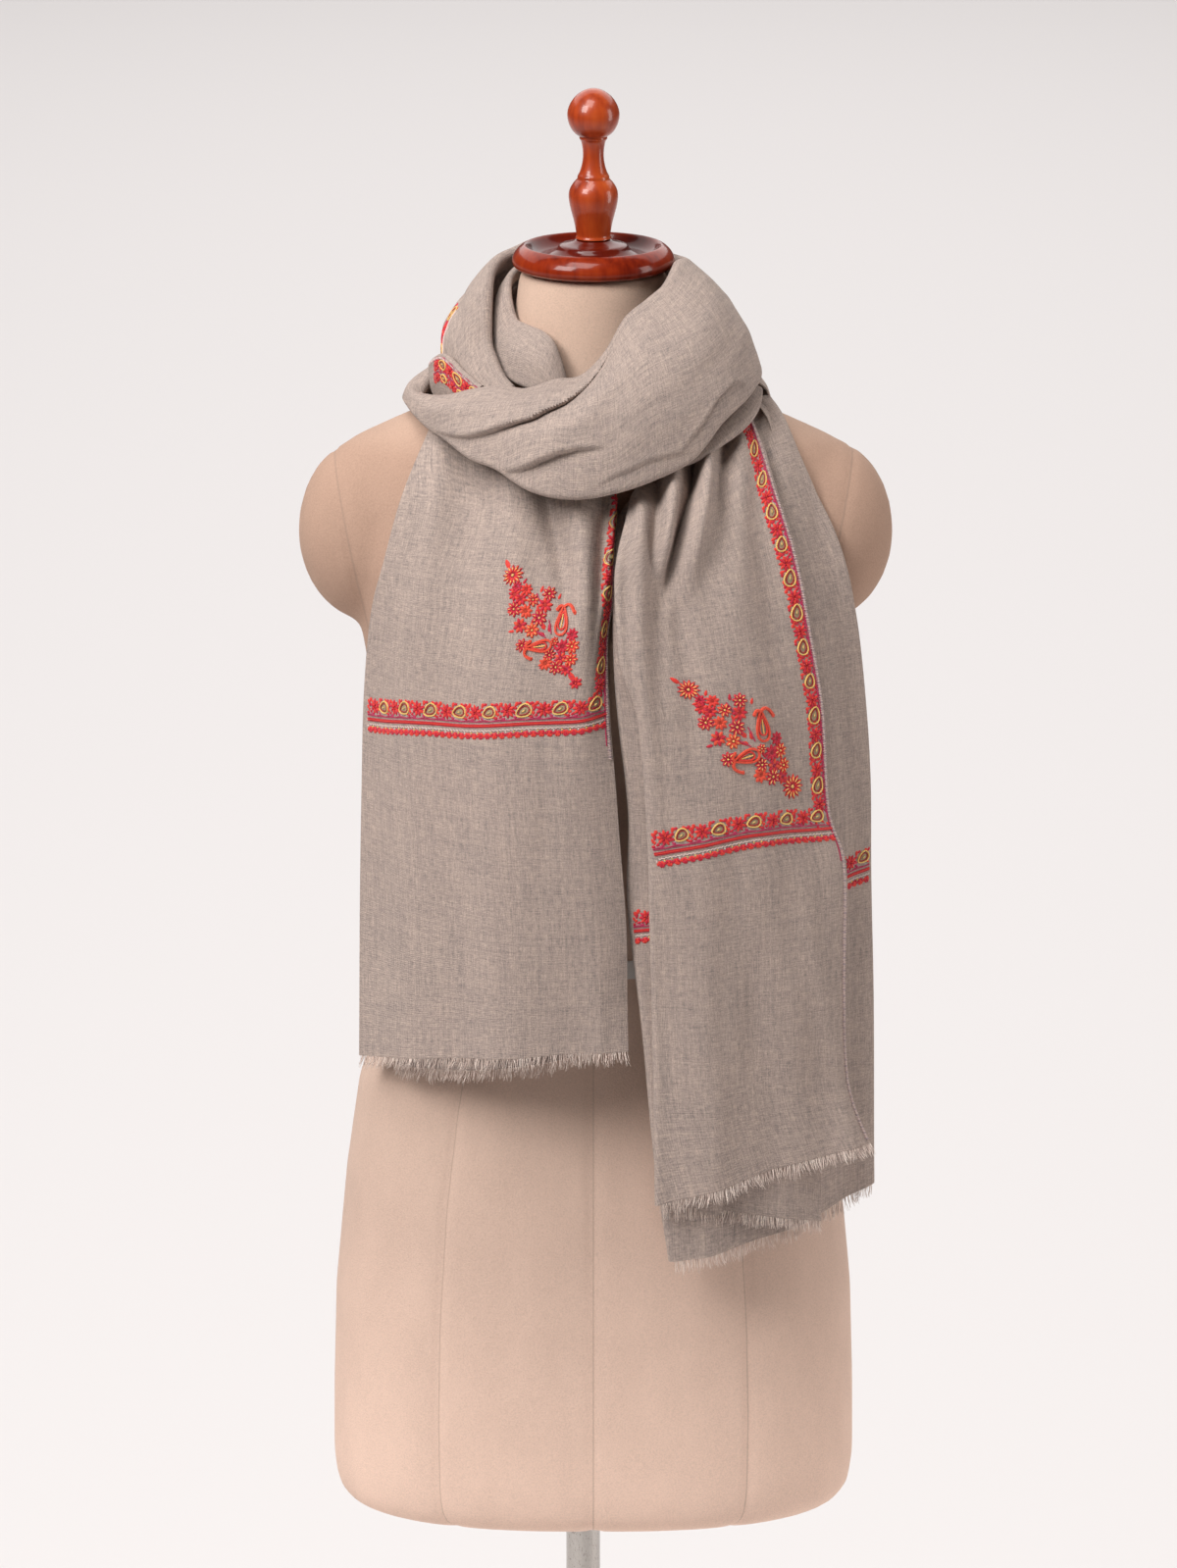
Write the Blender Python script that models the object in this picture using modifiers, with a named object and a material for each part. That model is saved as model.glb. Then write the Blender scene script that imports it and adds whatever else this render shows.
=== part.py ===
"""Pashmina shawl wound once round the neck of a limbless dress form.

Frame: metres, +Z up, +X to the right of someone who looks at the front, which faces -Y.
The origin is the centre of the underside of the round foot.  The shawl and the padded body
share an upright axis that stands BODY_X beside the pole's.
"""
import math

import bmesh
import bpy
from mathutils import Vector

# --- Driving sizes, in metres -----------------------------------------------------------------

BODY_X = 0.007          # the padded body sits this far to the right of its pole
CLOTH = 0.0020          # wall of the folded shawl
GAP = 0.0003            # running gap between pieces that touch
HEM_GAP = 0.0005        # the same at a hem, whose edge face slants a little

POLE_RADIUS = 0.0117
POLE_FOOT = 0.0300      # top of the foot's boss, where the pole stands
SLEEVE_RADIUS = 0.0148
SLEEVE_LENGTH = 0.0260

BODY_BOTTOM = 0.7875
NECK_TOP = 1.6375
FINIAL_FOOT = 0.0203    # where the finial starts, above the neck
TAPE_WALL = 0.0008
FRINGE_REACH = 0.0085
SHARP = math.radians(50)  # corners sharper than this are not shaded smooth

# --- The padded body ---------------------------------------------------------------------------

BODY_SEGMENTS = 36
BODY_RINGS = [
    # height, half width, depth in front of the axis, depth behind it, squareness
    (BODY_BOTTOM, 0.1560, 0.0900, 0.0950, 2.5),
    (0.7910, 0.1690, 0.1020, 0.1080, 2.5),
    (0.8000, 0.1755, 0.1085, 0.1150, 2.5),
    (0.8170, 0.1780, 0.1110, 0.1180, 2.5),
    (0.8700, 0.1775, 0.1120, 0.1200, 2.5),
    (0.9390, 0.1755, 0.1120, 0.1220, 2.4),
    (1.0190, 0.1680, 0.1080, 0.1180, 2.3),
    (1.0850, 0.1585, 0.1000, 0.1040, 2.2),
    (1.1300, 0.1400, 0.0930, 0.0900, 2.2),
    (1.1760, 0.1260, 0.0890, 0.0800, 2.2),
    (1.1885, 0.1250, 0.0890, 0.0790, 2.2),
    (1.2400, 0.1290, 0.0960, 0.0810, 2.2),
    (1.3000, 0.1390, 0.1110, 0.0860, 2.2),
    (1.3600, 0.1490, 0.1240, 0.0920, 2.2),
    (1.4100, 0.1570, 0.1180, 0.0960, 2.2),
    (1.4550, 0.1660, 0.1000, 0.0940, 2.2),
    (1.4900, 0.1730, 0.0820, 0.0840, 2.1),
    (1.5140, 0.1700, 0.0680, 0.0720, 2.0),
    (1.5240, 0.1600, 0.0620, 0.0650, 2.0),
    (1.5360, 0.1340, 0.0570, 0.0600, 2.0),
    (1.5480, 0.1060, 0.0545, 0.0570, 2.0),
    (1.5600, 0.0800, 0.0530, 0.0545, 2.0),
    (1.5740, 0.0620, 0.0520, 0.0530, 2.0),
    (1.6000, 0.0530, 0.0505, 0.0510, 2.0),
    (NECK_TOP, 0.0488, 0.0488, 0.0488, 2.0),
]
WAIST_RINGS = (9, 10)   # the waist tape covers the body between these two rings
SHOULDER_CAP_X = (-0.1480, 0.1510)
CAP_SEGMENTS = 20
CAP_RINGS = 12
SHOULDER_CAP = {"z": 1.4620, "half_x": 0.0490, "half_y": 0.0530, "half_z": 0.0620}

# --- Turned pieces: radius and height, from the top centre down the outside -------------------

WOOD_SEGMENTS = 20
MERGE = 0.00005         # points this near the axis become one
NECK_CAP_PROFILE = [
    (0.0000, 0.0200), (0.0113, 0.0200), (0.0180, 0.0187), (0.0260, 0.0175), (0.0280, 0.0150),
    (0.0300, 0.0133), (0.0380, 0.0125), (0.0446, 0.0155), (0.0500, 0.0140), (0.0535, 0.0095),
    (0.0540, 0.0065), (0.0525, 0.0025), (0.0495, 0.0003), (0.0000, 0.0003),
]
FINIAL_PROFILE = [
    (0.0000, 0.1200), (0.0070, 0.1185), (0.0125, 0.1146), (0.0160, 0.1094), (0.0174, 0.1026),
    (0.0160, 0.0958), (0.0125, 0.0906), (0.0096, 0.0880), (0.0096, 0.0866), (0.0080, 0.0850),
    (0.0068, 0.0749), (0.0076, 0.0690), (0.0100, 0.0620), (0.0105, 0.0600), (0.0150, 0.0550),
    (0.0165, 0.0505), (0.0158, 0.0450), (0.0140, 0.0370), (0.0116, 0.0260), (0.0113, 0.0230),
    (0.0117, FINIAL_FOOT), (0.0000, FINIAL_FOOT),
]
FOOT_SEGMENTS = 48
FOOT_PROFILE = [
    (0.0000, POLE_FOOT), (0.0200, POLE_FOOT), (0.0235, 0.0265), (0.0260, 0.0150),
    (0.1900, 0.0100), (0.2070, 0.0080), (0.2100, 0.0045), (0.2090, 0.0000), (0.0000, 0.0000),
]

# --- Stretches that go round the neck ----------------------------------------------------------
# The turn counts degrees from the front, by the left, the back (180) and the right (270), over
# the front again (360) and round the back a second time (540).  The rim is the edge beside the
# neck, the lip the outer, lower edge, and the crown is how far the cloth bows out between them.

WRAP_SECTIONS = [
    # turn, rim radius, rim height, lip radius, lip height, crown
    (40, 0.0850, 1.5700, 0.0880, 1.5470, 0.003),
    (48, 0.0830, 1.5760, 0.0890, 1.5500, 0.004),
    (57, 0.0805, 1.5860, 0.0915, 1.5530, 0.006),
    (66, 0.0785, 1.5970, 0.0945, 1.5570, 0.008),
    (74, 0.0755, 1.6150, 0.0970, 1.5600, 0.009),
    (84, 0.0725, 1.6310, 0.1000, 1.5630, 0.010),
    (105, 0.0700, 1.6400, 0.1000, 1.5660, 0.010),
    (128, 0.0690, 1.6430, 0.0970, 1.5690, 0.010),
    (150, 0.0685, 1.6475, 0.0930, 1.5730, 0.009),
    (180, 0.0685, 1.6470, 0.0900, 1.5750, 0.008),
    (205, 0.0680, 1.6430, 0.0910, 1.5740, 0.009),
    (232, 0.0665, 1.6395, 0.0960, 1.5730, 0.009),
    (256, 0.0645, 1.6410, 0.1030, 1.5720, 0.008),
    (272, 0.0625, 1.6440, 0.1080, 1.5770, 0.008),
    (287, 0.0610, 1.6460, 0.1150, 1.5740, 0.010),
    (300, 0.0640, 1.6440, 0.1180, 1.5670, 0.012),
    (315, 0.0675, 1.6350, 0.1210, 1.5560, 0.015),
    (328, 0.0685, 1.6275, 0.1240, 1.5350, 0.018),
    (342, 0.0695, 1.6170, 0.1270, 1.5245, 0.020),
    (354, 0.0735, 1.5960, 0.1305, 1.5180, 0.021),
    (366, 0.0780, 1.5815, 0.1335, 1.5150, 0.020),
    (378, 0.0820, 1.5790, 0.1320, 1.5185, 0.018),
    (390, 0.0890, 1.5730, 0.1285, 1.5300, 0.015),
    (400, 0.0945, 1.5740, 0.1270, 1.5340, 0.012),
    (411, 0.1025, 1.5700, 0.1255, 1.5420, 0.010),
    (421, 0.1070, 1.5640, 0.1245, 1.5455, 0.008),
    (432, 0.1110, 1.5595, 0.1245, 1.5500, 0.006),
    (445, 0.1150, 1.5560, 0.1245, 1.5520, 0.004),
    (460, 0.1130, 1.5620, 0.1280, 1.5480, 0.004),
    (475, 0.1085, 1.5700, 0.1320, 1.5360, 0.006),
    (490, 0.1060, 1.5860, 0.1350, 1.5160, 0.007),
    (505, 0.1055, 1.5960, 0.1350, 1.4960, 0.008),
    (520, 0.1050, 1.6000, 0.1300, 1.4780, 0.008),
    (540, 0.1040, 1.6010, 0.1240, 1.4680, 0.008),
    (560, 0.1050, 1.6000, 0.1290, 1.4740, 0.008),
    (580, 0.1065, 1.5920, 0.1370, 1.4960, 0.008),
    (600, 0.1075, 1.5740, 0.1310, 1.5260, 0.006),
    (615, 0.1085, 1.5650, 0.1210, 1.5440, 0.003),
    (630, 0.1090, 1.5610, 0.1165, 1.5510, 0.002),
]
BAND_START = 14         # rows of the winding where one stretch hands over to the next
BAND_END = 27
WRAP_END = 38
SEAM = 0.018            # share of a row on each side of a seam that leaves the running gap

INNER_FOLD_SECTIONS = [
    (16, 0.0665, 1.5770, 0.0735, 1.5600, 0.003),
    (20, 0.0640, 1.5880, 0.0740, 1.5640, 0.003),
    (26, 0.0615, 1.5990, 0.0740, 1.5690, 0.004),
    (36, 0.0590, 1.6045, 0.0740, 1.5720, 0.004),
    (52, 0.0574, 1.6065, 0.0725, 1.5760, 0.004),
    (68, 0.0574, 1.6085, 0.0700, 1.5850, 0.003),
    (80, 0.0580, 1.6200, 0.0670, 1.6010, 0.003),
    (95, 0.0580, 1.6290, 0.0640, 1.6130, 0.002),
    (115, 0.0585, 1.6330, 0.0625, 1.6180, 0.001),
]
UNDER_FOLD_SECTIONS = [
    (280, 0.1020, 1.5650, 0.1120, 1.5620, 0.001),
    (292, 0.1030, 1.5610, 0.1165, 1.5540, 0.002),
    (303, 0.1040, 1.5550, 0.1185, 1.5470, 0.002),
    (316, 0.1060, 1.5460, 0.1190, 1.5390, 0.002),
    (327, 0.1077, 1.5355, 0.1167, 1.5300, 0.002),
    (337, 0.1070, 1.5330, 0.1130, 1.5280, 0.001),
]
EDGE_FOLD_SECTIONS = [
    (412, 0.0943, 1.5690, 0.0948, 1.5600, 0.000),
    (422, 0.0985, 1.5770, 0.0985, 1.5580, 0.001),
    (432, 0.1040, 1.5850, 0.1020, 1.5560, 0.001),
    (444, 0.1080, 1.5770, 0.1060, 1.5560, 0.001),
    (455, 0.1090, 1.5680, 0.1070, 1.5560, 0.000),
]

# Folds across the band: where each starts and ends, as a turn and a share of the way from rim
# to lip, how far the cloth above the fold stands over the cloth below it, and its half width.
BAND_FOLDS = [
    # turn start, share start, turn end, share end, step, half width
    (345, 0.05, 412, 0.90, 0.0040, 0.13),
    (340, 0.60, 386, 1.00, 0.0030, 0.14),
]

# --- Stretches that hang -----------------------------------------------------------------------
# One row for each level of a hanging end: its left edge, its middle and its right edge, each
# as x, y, z from the body's axis.  The last row is the hem.

TAIL_LEFT = [
    (-0.1050, -0.0480, 1.5430, -0.0450, -0.0820, 1.5320, 0.0140, -0.0920, 1.5180),
    (-0.1235, -0.0690, 1.5000, -0.0500, -0.1040, 1.5000, 0.0150, -0.1120, 1.5000),
    (-0.1365, -0.0730, 1.4550, -0.0580, -0.1240, 1.4550, 0.0145, -0.1300, 1.4550),
    (-0.1455, -0.0670, 1.4200, -0.0620, -0.1340, 1.4200, 0.0120, -0.1390, 1.4200),
    (-0.1510, -0.0600, 1.3650, -0.0660, -0.1400, 1.3650, 0.0100, -0.1430, 1.3650),
    (-0.1530, -0.0590, 1.3000, -0.0660, -0.1410, 1.3000, 0.0145, -0.1440, 1.3000),
    (-0.1545, -0.0570, 1.2200, -0.0660, -0.1400, 1.2200, 0.0210, -0.1430, 1.2200),
    (-0.1560, -0.0580, 1.1130, -0.0660, -0.1390, 1.1305, 0.0210, -0.1420, 1.1400),
]
TAIL_LEFT_UNDER = [
    (-0.1120, -0.0740, 1.4900, -0.0500, -0.0980, 1.4900, 0.0080, -0.1040, 1.4900),
    (-0.1294, -0.0803, 1.4300, -0.0580, -0.1210, 1.4300, 0.0020, -0.1280, 1.4300),
    (-0.1320, -0.0740, 1.3650, -0.0620, -0.1330, 1.3650, 0.0010, -0.1370, 1.3650),
    (-0.1320, -0.0720, 1.2500, -0.0640, -0.1340, 1.2500, 0.0010, -0.1380, 1.2500),
    (-0.1310, -0.0740, 1.1130, -0.0660, -0.1330, 1.1270, 0.0030, -0.1360, 1.1420),
]
TAIL_RIGHT_FRONT = [
    (0.0265, -0.1000, 1.5080, 0.0640, -0.0800, 1.5300, 0.1024, -0.0382, 1.5516),
    (0.0235, -0.1200, 1.4960, 0.0690, -0.1010, 1.5120, 0.1114, -0.0622, 1.5336),
    (0.0185, -0.1360, 1.4730, 0.0730, -0.1160, 1.4880, 0.1200, -0.0800, 1.5060),
    (0.0175, -0.1430, 1.4500, 0.0780, -0.1240, 1.4560, 0.1335, -0.0950, 1.4650),
    (0.0205, -0.1490, 1.4050, 0.0840, -0.1340, 1.4100, 0.1435, -0.1010, 1.4150),
    (0.0315, -0.1500, 1.3640, 0.0920, -0.1390, 1.3650, 0.1515, -0.1020, 1.3650),
    (0.0352, -0.1490, 1.2920, 0.0960, -0.1400, 1.2950, 0.1560, -0.1020, 1.2970),
    (0.0362, -0.1490, 1.2500, 0.1000, -0.1400, 1.2550, 0.1665, -0.1020, 1.2580),
    (0.0385, -0.1490, 1.1800, 0.1030, -0.1400, 1.1800, 0.1672, -0.1020, 1.1800),
    (0.0400, -0.1490, 1.1150, 0.1040, -0.1400, 1.1150, 0.1690, -0.1020, 1.1100),
    (0.0415, -0.1480, 1.0375, 0.1090, -0.1390, 1.0555, 0.1850, -0.1030, 1.0670),
]
TAIL_RIGHT_MIDDLE = [
    (0.0300, -0.1140, 1.4850, 0.0700, -0.1030, 1.4850, 0.1120, -0.0880, 1.4850),
    (0.0300, -0.1400, 1.4150, 0.0800, -0.1290, 1.4150, 0.1330, -0.1030, 1.4150),
    (0.0400, -0.1430, 1.3500, 0.0900, -0.1350, 1.3500, 0.1430, -0.1050, 1.3500),
    (0.0430, -0.1440, 1.2500, 0.0950, -0.1360, 1.2500, 0.1500, -0.1060, 1.2500),
    (0.0440, -0.1440, 1.1400, 0.0970, -0.1360, 1.1400, 0.1510, -0.1080, 1.1400),
    (0.0460, -0.1430, 1.0360, 0.0980, -0.1350, 1.0280, 0.1515, -0.1080, 1.0140),
]
TAIL_RIGHT_BACK = [
    (0.0600, -0.0560, 1.5330, 0.0930, -0.0334, 1.5462, 0.1165, -0.0050, 1.5520),
    (0.0360, -0.0820, 1.5100, 0.0930, -0.0560, 1.5330, 0.1250, -0.0240, 1.5420),
    (0.0180, -0.1030, 1.4880, 0.0900, -0.0790, 1.5080, 0.1370, -0.0460, 1.5170),
    (0.0165, -0.1220, 1.4500, 0.0900, -0.1030, 1.4550, 0.1615, -0.0610, 1.4610),
    (0.0150, -0.1330, 1.4050, 0.0940, -0.1180, 1.4100, 0.1720, -0.0660, 1.4160),
    (0.0145, -0.1370, 1.3650, 0.0970, -0.1240, 1.3630, 0.1785, -0.0670, 1.3600),
    (0.0215, -0.1380, 1.3000, 0.1020, -0.1260, 1.3000, 0.1822, -0.0680, 1.3050),
    (0.0245, -0.1380, 1.2400, 0.1040, -0.1260, 1.2400, 0.1832, -0.0680, 1.2400),
    (0.0330, -0.1380, 1.1570, 0.1090, -0.1260, 1.1570, 0.1855, -0.0680, 1.1570),
    (0.0434, -0.1380, 1.0610, 0.1150, -0.1250, 1.0610, 0.1868, -0.0680, 1.0610),
    (0.0530, -0.1370, 0.9950, 0.1170, -0.1210, 1.0070, 0.1872, -0.0680, 1.0270),
]

# Soft upright folds in the hanging ends: place across (0 left, 1 right), half width as a share
# of the width, how far out the cloth stands at the top, and how far down the fold dies away.
PLEATS_LEFT = [
    # across, half width, stand at top, reach down
    (0.10, 0.07, 0.0035, 0.9),
    (0.52, 0.07, 0.0060, 0.5),
    (0.66, 0.06, -0.0060, 0.5),
    (0.86, 0.07, 0.0040, 0.7),
]
PLEATS_RIGHT = [
    (0.22, 0.07, 0.0060, 0.35),
    (0.38, 0.06, -0.0050, 0.30),
    (0.55, 0.08, 0.0060, 0.40),
    (0.80, 0.07, -0.0030, 0.50),
]

# Each stretch round the neck and each hanging end, with how finely it is drawn.
WRAPS = [
    # name, sections, first place, last place, lines, stations, rim curl, lip curl, folds
    ("shawl_collar", WRAP_SECTIONS, 0, BAND_START - SEAM, 25, 6, 0.0035, 0.0045, ()),
    ("shawl_band", WRAP_SECTIONS, BAND_START + SEAM, BAND_END - SEAM, 23, 12, 0.0035, 0.0040,
     BAND_FOLDS),
    ("shawl_back_wrap", WRAP_SECTIONS, BAND_END + SEAM, WRAP_END, 18, 6, 0.0025, 0.0025, ()),
    ("shawl_inner_fold", INNER_FOLD_SECTIONS, 0, 8, 12, 4, 0.0025, 0.0025, ()),
    ("shawl_under_fold", UNDER_FOLD_SECTIONS, 0, 5, 9, 3, 0.0020, 0.0030, ()),
    ("shawl_edge_fold", EDGE_FOLD_SECTIONS, 0, 4, 8, 3, 0.0022, 0.0015, ()),
]
TAILS = [
    # name, levels' rows, lines, stations, pleats, edges that are folds
    ("shawl_tail_left", TAIL_LEFT, 15, 12, PLEATS_LEFT, ("left",)),
    ("shawl_tail_left_under", TAIL_LEFT_UNDER, 8, 7, (), ()),
    ("shawl_tail_right_front", TAIL_RIGHT_FRONT, 18, 12, PLEATS_RIGHT, ("left",)),
    ("shawl_tail_right_middle", TAIL_RIGHT_MIDDLE, 9, 7, (), ()),
    ("shawl_tail_right_back", TAIL_RIGHT_BACK, 16, 9, (), ("left", "right")),
]
TAIL_CURL = 0.003       # radius of a hanging end's folded edges

COLOURS = {
    # name: (red, green, blue, roughness, metallic), linear light
    "shawl": (0.380, 0.310, 0.260, 0.90, 0.0),
    "fringe": (0.450, 0.380, 0.330, 0.92, 0.0),
    "padding": (0.640, 0.470, 0.330, 0.85, 0.0),
    "tape": (0.800, 0.780, 0.740, 0.70, 0.0),
    "wood": (0.230, 0.040, 0.012, 0.22, 0.0),
    "chrome": (0.620, 0.600, 0.580, 0.12, 1.0),
    "foot": (0.700, 0.690, 0.670, 0.35, 0.0),
}


# --- Scene and objects -------------------------------------------------------------------------

def clear_scene():
    for old in list(bpy.data.objects):
        bpy.data.objects.remove(old, do_unlink=True)


def make_material(name):
    red, green, blue, roughness, metallic = COLOURS[name]
    material = bpy.data.materials.new(name)
    material.use_nodes = True
    shader = material.node_tree.nodes["Principled BSDF"]
    shader.inputs["Base Color"].default_value = (red, green, blue, 1.0)
    shader.inputs["Roughness"].default_value = roughness
    shader.inputs["Metallic"].default_value = metallic
    return material


def make_object(name, shape, colour, collection):
    """Put a bmesh into the scene as a smooth-shaded object of its own material."""
    mesh = bpy.data.meshes.new(name)
    shape.to_mesh(mesh)
    shape.free()
    mesh.materials.append(make_material(colour))
    mesh.shade_smooth()
    mesh.set_sharp_from_angle(angle=SHARP)
    piece = bpy.data.objects.new(name, mesh)
    collection.objects.link(piece)
    return piece


def apply_modifiers(piece):
    """Replace the object's mesh by what its modifiers make of it."""
    shaped = bpy.data.meshes.new_from_object(
        piece.evaluated_get(bpy.context.evaluated_depsgraph_get()))
    piece.modifiers.clear()
    piece.data = shaped


# --- Curves through tables ---------------------------------------------------------------------

def along_rows(rows, place):
    """Row of numbers on a smooth curve through the rows; place runs from 0 to len(rows) - 1."""
    last = len(rows) - 1
    index = min(int(place), last - 1)
    share = place - index
    before = rows[max(index - 1, 0)]
    start = rows[index]
    end = rows[index + 1]
    after = rows[min(index + 2, last)]
    return [
        b + 0.5 * share * (c - a + share * (2 * a - 5 * b + 4 * c - d
                                            + share * (3 * b - 3 * c + d - a)))
        for a, b, c, d in zip(before, start, end, after)
    ]


def spread(start, end, count):
    """Evenly spaced numbers from start to end, both included."""
    return [start + (end - start) * i / (count - 1) for i in range(count)]


# --- Dress form --------------------------------------------------------------------------------

def body_ring(height, half, front, back, square, outset=0.0):
    """Points of one level ring of the body, counter-clockwise from +X."""
    points = []
    for i in range(BODY_SEGMENTS):
        angle = math.tau * i / BODY_SEGMENTS
        across, fore = math.cos(angle), math.sin(angle)
        depth = (back if fore > 0 else front) + outset
        x = math.copysign(abs(across) ** (2 / square), across) * (half + outset)
        y = math.copysign(abs(fore) ** (2 / square), fore) * depth
        points.append(Vector((x + BODY_X, y, height)))
    return points


def bridge(shape, lower, upper):
    """Join two rings of vertices by a belt of faces."""
    count = len(lower)
    for i in range(count):
        j = (i + 1) % count
        shape.faces.new((lower[i], lower[j], upper[j], upper[i]))


def make_body(collection):
    shape = bmesh.new()
    rings = [[shape.verts.new(p) for p in body_ring(*row)] for row in BODY_RINGS]
    for lower, upper in zip(rings, rings[1:]):
        bridge(shape, lower, upper)
    shape.faces.new(reversed(rings[0]))
    shape.faces.new(rings[-1])
    body = make_object("form_torso", shape, "padding", collection)
    for cap_x in SHOULDER_CAP_X:
        cap_shape = bmesh.new()
        bmesh.ops.create_uvsphere(cap_shape, u_segments=CAP_SEGMENTS, v_segments=CAP_RINGS,
                                  radius=1.0)
        size = Vector((SHOULDER_CAP["half_x"], SHOULDER_CAP["half_y"], SHOULDER_CAP["half_z"]))
        centre = Vector((cap_x + BODY_X, 0, SHOULDER_CAP["z"]))
        for vertex in cap_shape.verts:
            vertex.co = vertex.co * size + centre
        cap = make_object("shoulder_cap", cap_shape, "padding", collection)
        union = body.modifiers.new("shoulder cap", "BOOLEAN")
        union.operation = "UNION"
        union.object = cap
        apply_modifiers(body)
        bpy.data.objects.remove(cap, do_unlink=True)


def make_waist_tape(collection):
    """A flat tape round the body, from just inside the lower waist ring to the upper one."""
    low, high = (BODY_RINGS[i] for i in WAIST_RINGS)
    shape = bmesh.new()
    loops = []
    for ring, outset in ((low, GAP), (low, GAP + TAPE_WALL), (high, GAP + TAPE_WALL), (high, GAP)):
        loops.append([shape.verts.new(p) for p in body_ring(*ring, outset=outset)])
    for lower, upper in zip(loops, loops[1:] + loops[:1]):
        bridge(shape, lower, upper)
    make_object("form_waist_tape", shape, "tape", collection)


def make_turned(name, profile, segments, centre, colour, collection, closed=False):
    """Turn a profile of (radius, height) pairs, from the top down its outside, round Z."""
    shape = bmesh.new()
    verts = [shape.verts.new((radius, 0, height)) for radius, height in profile]
    edges = list(zip(verts, verts[1:]))
    if closed:
        edges.append((verts[-1], verts[0]))
    for pair in edges:
        shape.edges.new(pair)
    piece = make_object(name, shape, colour, collection)
    piece.location = centre
    screw = piece.modifiers.new("turn", "SCREW")
    screw.steps = screw.render_steps = segments
    screw.use_merge_vertices = True
    screw.merge_threshold = MERGE
    return piece


def make_stand(collection):
    neck = (BODY_X, 0, NECK_TOP)
    make_turned("form_neck_cap", NECK_CAP_PROFILE, WOOD_SEGMENTS, neck, "wood", collection)
    finial = [(radius, height + GAP) for radius, height in FINIAL_PROFILE]
    make_turned("form_finial", finial, WOOD_SEGMENTS, neck, "wood", collection)
    make_turned("form_base", FOOT_PROFILE, FOOT_SEGMENTS, (0, 0, 0), "foot", collection)
    top = BODY_BOTTOM - GAP
    foot = POLE_FOOT + GAP
    pole = [(0, top), (POLE_RADIUS, top), (POLE_RADIUS, foot), (0, foot)]
    make_turned("form_pole", pole, WOOD_SEGMENTS, (0, 0, 0), "chrome", collection)
    bore = POLE_RADIUS + GAP
    end = top - SLEEVE_LENGTH
    sleeve = [(bore, top), (SLEEVE_RADIUS, top), (SLEEVE_RADIUS, end), (bore, end)]
    make_turned("form_sleeve", sleeve, WOOD_SEGMENTS, (0, 0, 0), "chrome", collection, closed=True)


# --- Cloth -------------------------------------------------------------------------------------

def make_sheet(name, lines, colour, collection):
    """A cloth wall through lines of points, each line running across the cloth."""
    rows, columns = len(lines), len(lines[0])
    shape = bmesh.new()
    bmesh.ops.create_grid(shape, x_segments=columns - 1, y_segments=rows - 1, size=1.0)
    for vertex in shape.verts:
        column = round((vertex.co.x + 1) / 2 * (columns - 1))
        row = round((vertex.co.y + 1) / 2 * (rows - 1))
        vertex.co = lines[row][column] + Vector((BODY_X, 0, 0))
    sheet = make_object(name, shape, colour, collection)
    wall = sheet.modifiers.new("wall", "SOLIDIFY")
    wall.thickness = CLOTH
    wall.offset = 0.0
    apply_modifiers(sheet)
    sheet.data.set_sharp_from_angle(angle=SHARP)


def curl(corner, outward, along, radius, angles):
    """Points of an arc that turns from a fold's edge to the cloth's inner side."""
    centre = corner - outward * radius
    return [centre + (outward * math.cos(a) + along * math.sin(a)) * radius for a in angles]


def fold_step(turn, share, folds):
    """How far a section stands out at a share of its way from rim to lip."""
    stand = 0.0
    for turn_start, share_start, turn_end, share_end, step, half_width in folds:
        if not turn_start < turn < turn_end:
            continue
        way = (turn - turn_start) / (turn_end - turn_start)
        offset = (share - share_start - (share_end - share_start) * way) / half_width
        stand -= step * math.sin(math.pi * way) * offset * math.exp(0.5 - 0.5 * offset * offset)
    return stand


def wrap_line(section, stations, rim_curl, lip_curl, folds):
    """Points of one section of cloth that goes round the neck, from its rim to its lip."""
    turn, rim_r, rim_z, lip_r, lip_z, crown = section
    rim, lip = Vector((rim_r, rim_z)), Vector((lip_r, lip_z))
    way = lip - rim
    normal = Vector((-way.y, way.x)).normalized()
    body = []
    for share in spread(0, 1, stations):
        stand = crown * math.sin(math.pi * share) + fold_step(turn, share, folds)
        body.append(rim + way * share + normal * stand)
    turns = [math.radians(a) for a in (40, 80, 120)]
    start = (body[1] - body[0]).normalized()
    end = (body[-1] - body[-2]).normalized()
    top = curl(body[0], Vector((-start.y, start.x)), -start, rim_curl, turns)
    under = curl(body[-1], Vector((-end.y, end.x)), end, lip_curl, turns)
    angle = math.radians(turn)
    return [Vector((-p.x * math.sin(angle), -p.x * math.cos(angle), p.y))
            for p in top[::-1] + body + under]


def make_wrap(name, sections, ends, count, stations, curls, folds, collection):
    """A stretch round the neck, between two places in its table, with a curl at each edge."""
    lines = []
    for place in spread(*ends, count):
        section = along_rows(sections, place)
        lines.append(wrap_line(section, stations, *curls, folds))
    make_sheet(name, lines, "shawl", collection)


def tail_point(row, across):
    """Point of a hanging end's level at a share of the way across it."""
    left, middle, right = Vector(row[0:3]), Vector(row[3:6]), Vector(row[6:9])
    return (left * (1 - across) * (1 - 2 * across) + middle * 4 * across * (1 - across)
            + right * across * (2 * across - 1))


def folded_edge(corner, inner):
    """Points that turn a hanging end's side edge back behind it."""
    edge = (corner - inner).normalized()
    outward = Vector((edge.y, -edge.x, 0)).normalized()
    if outward.y > 0:
        outward.negate()
    return curl(corner, outward, edge, TAIL_CURL, [math.radians(a) for a in (45, 90)])


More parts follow.
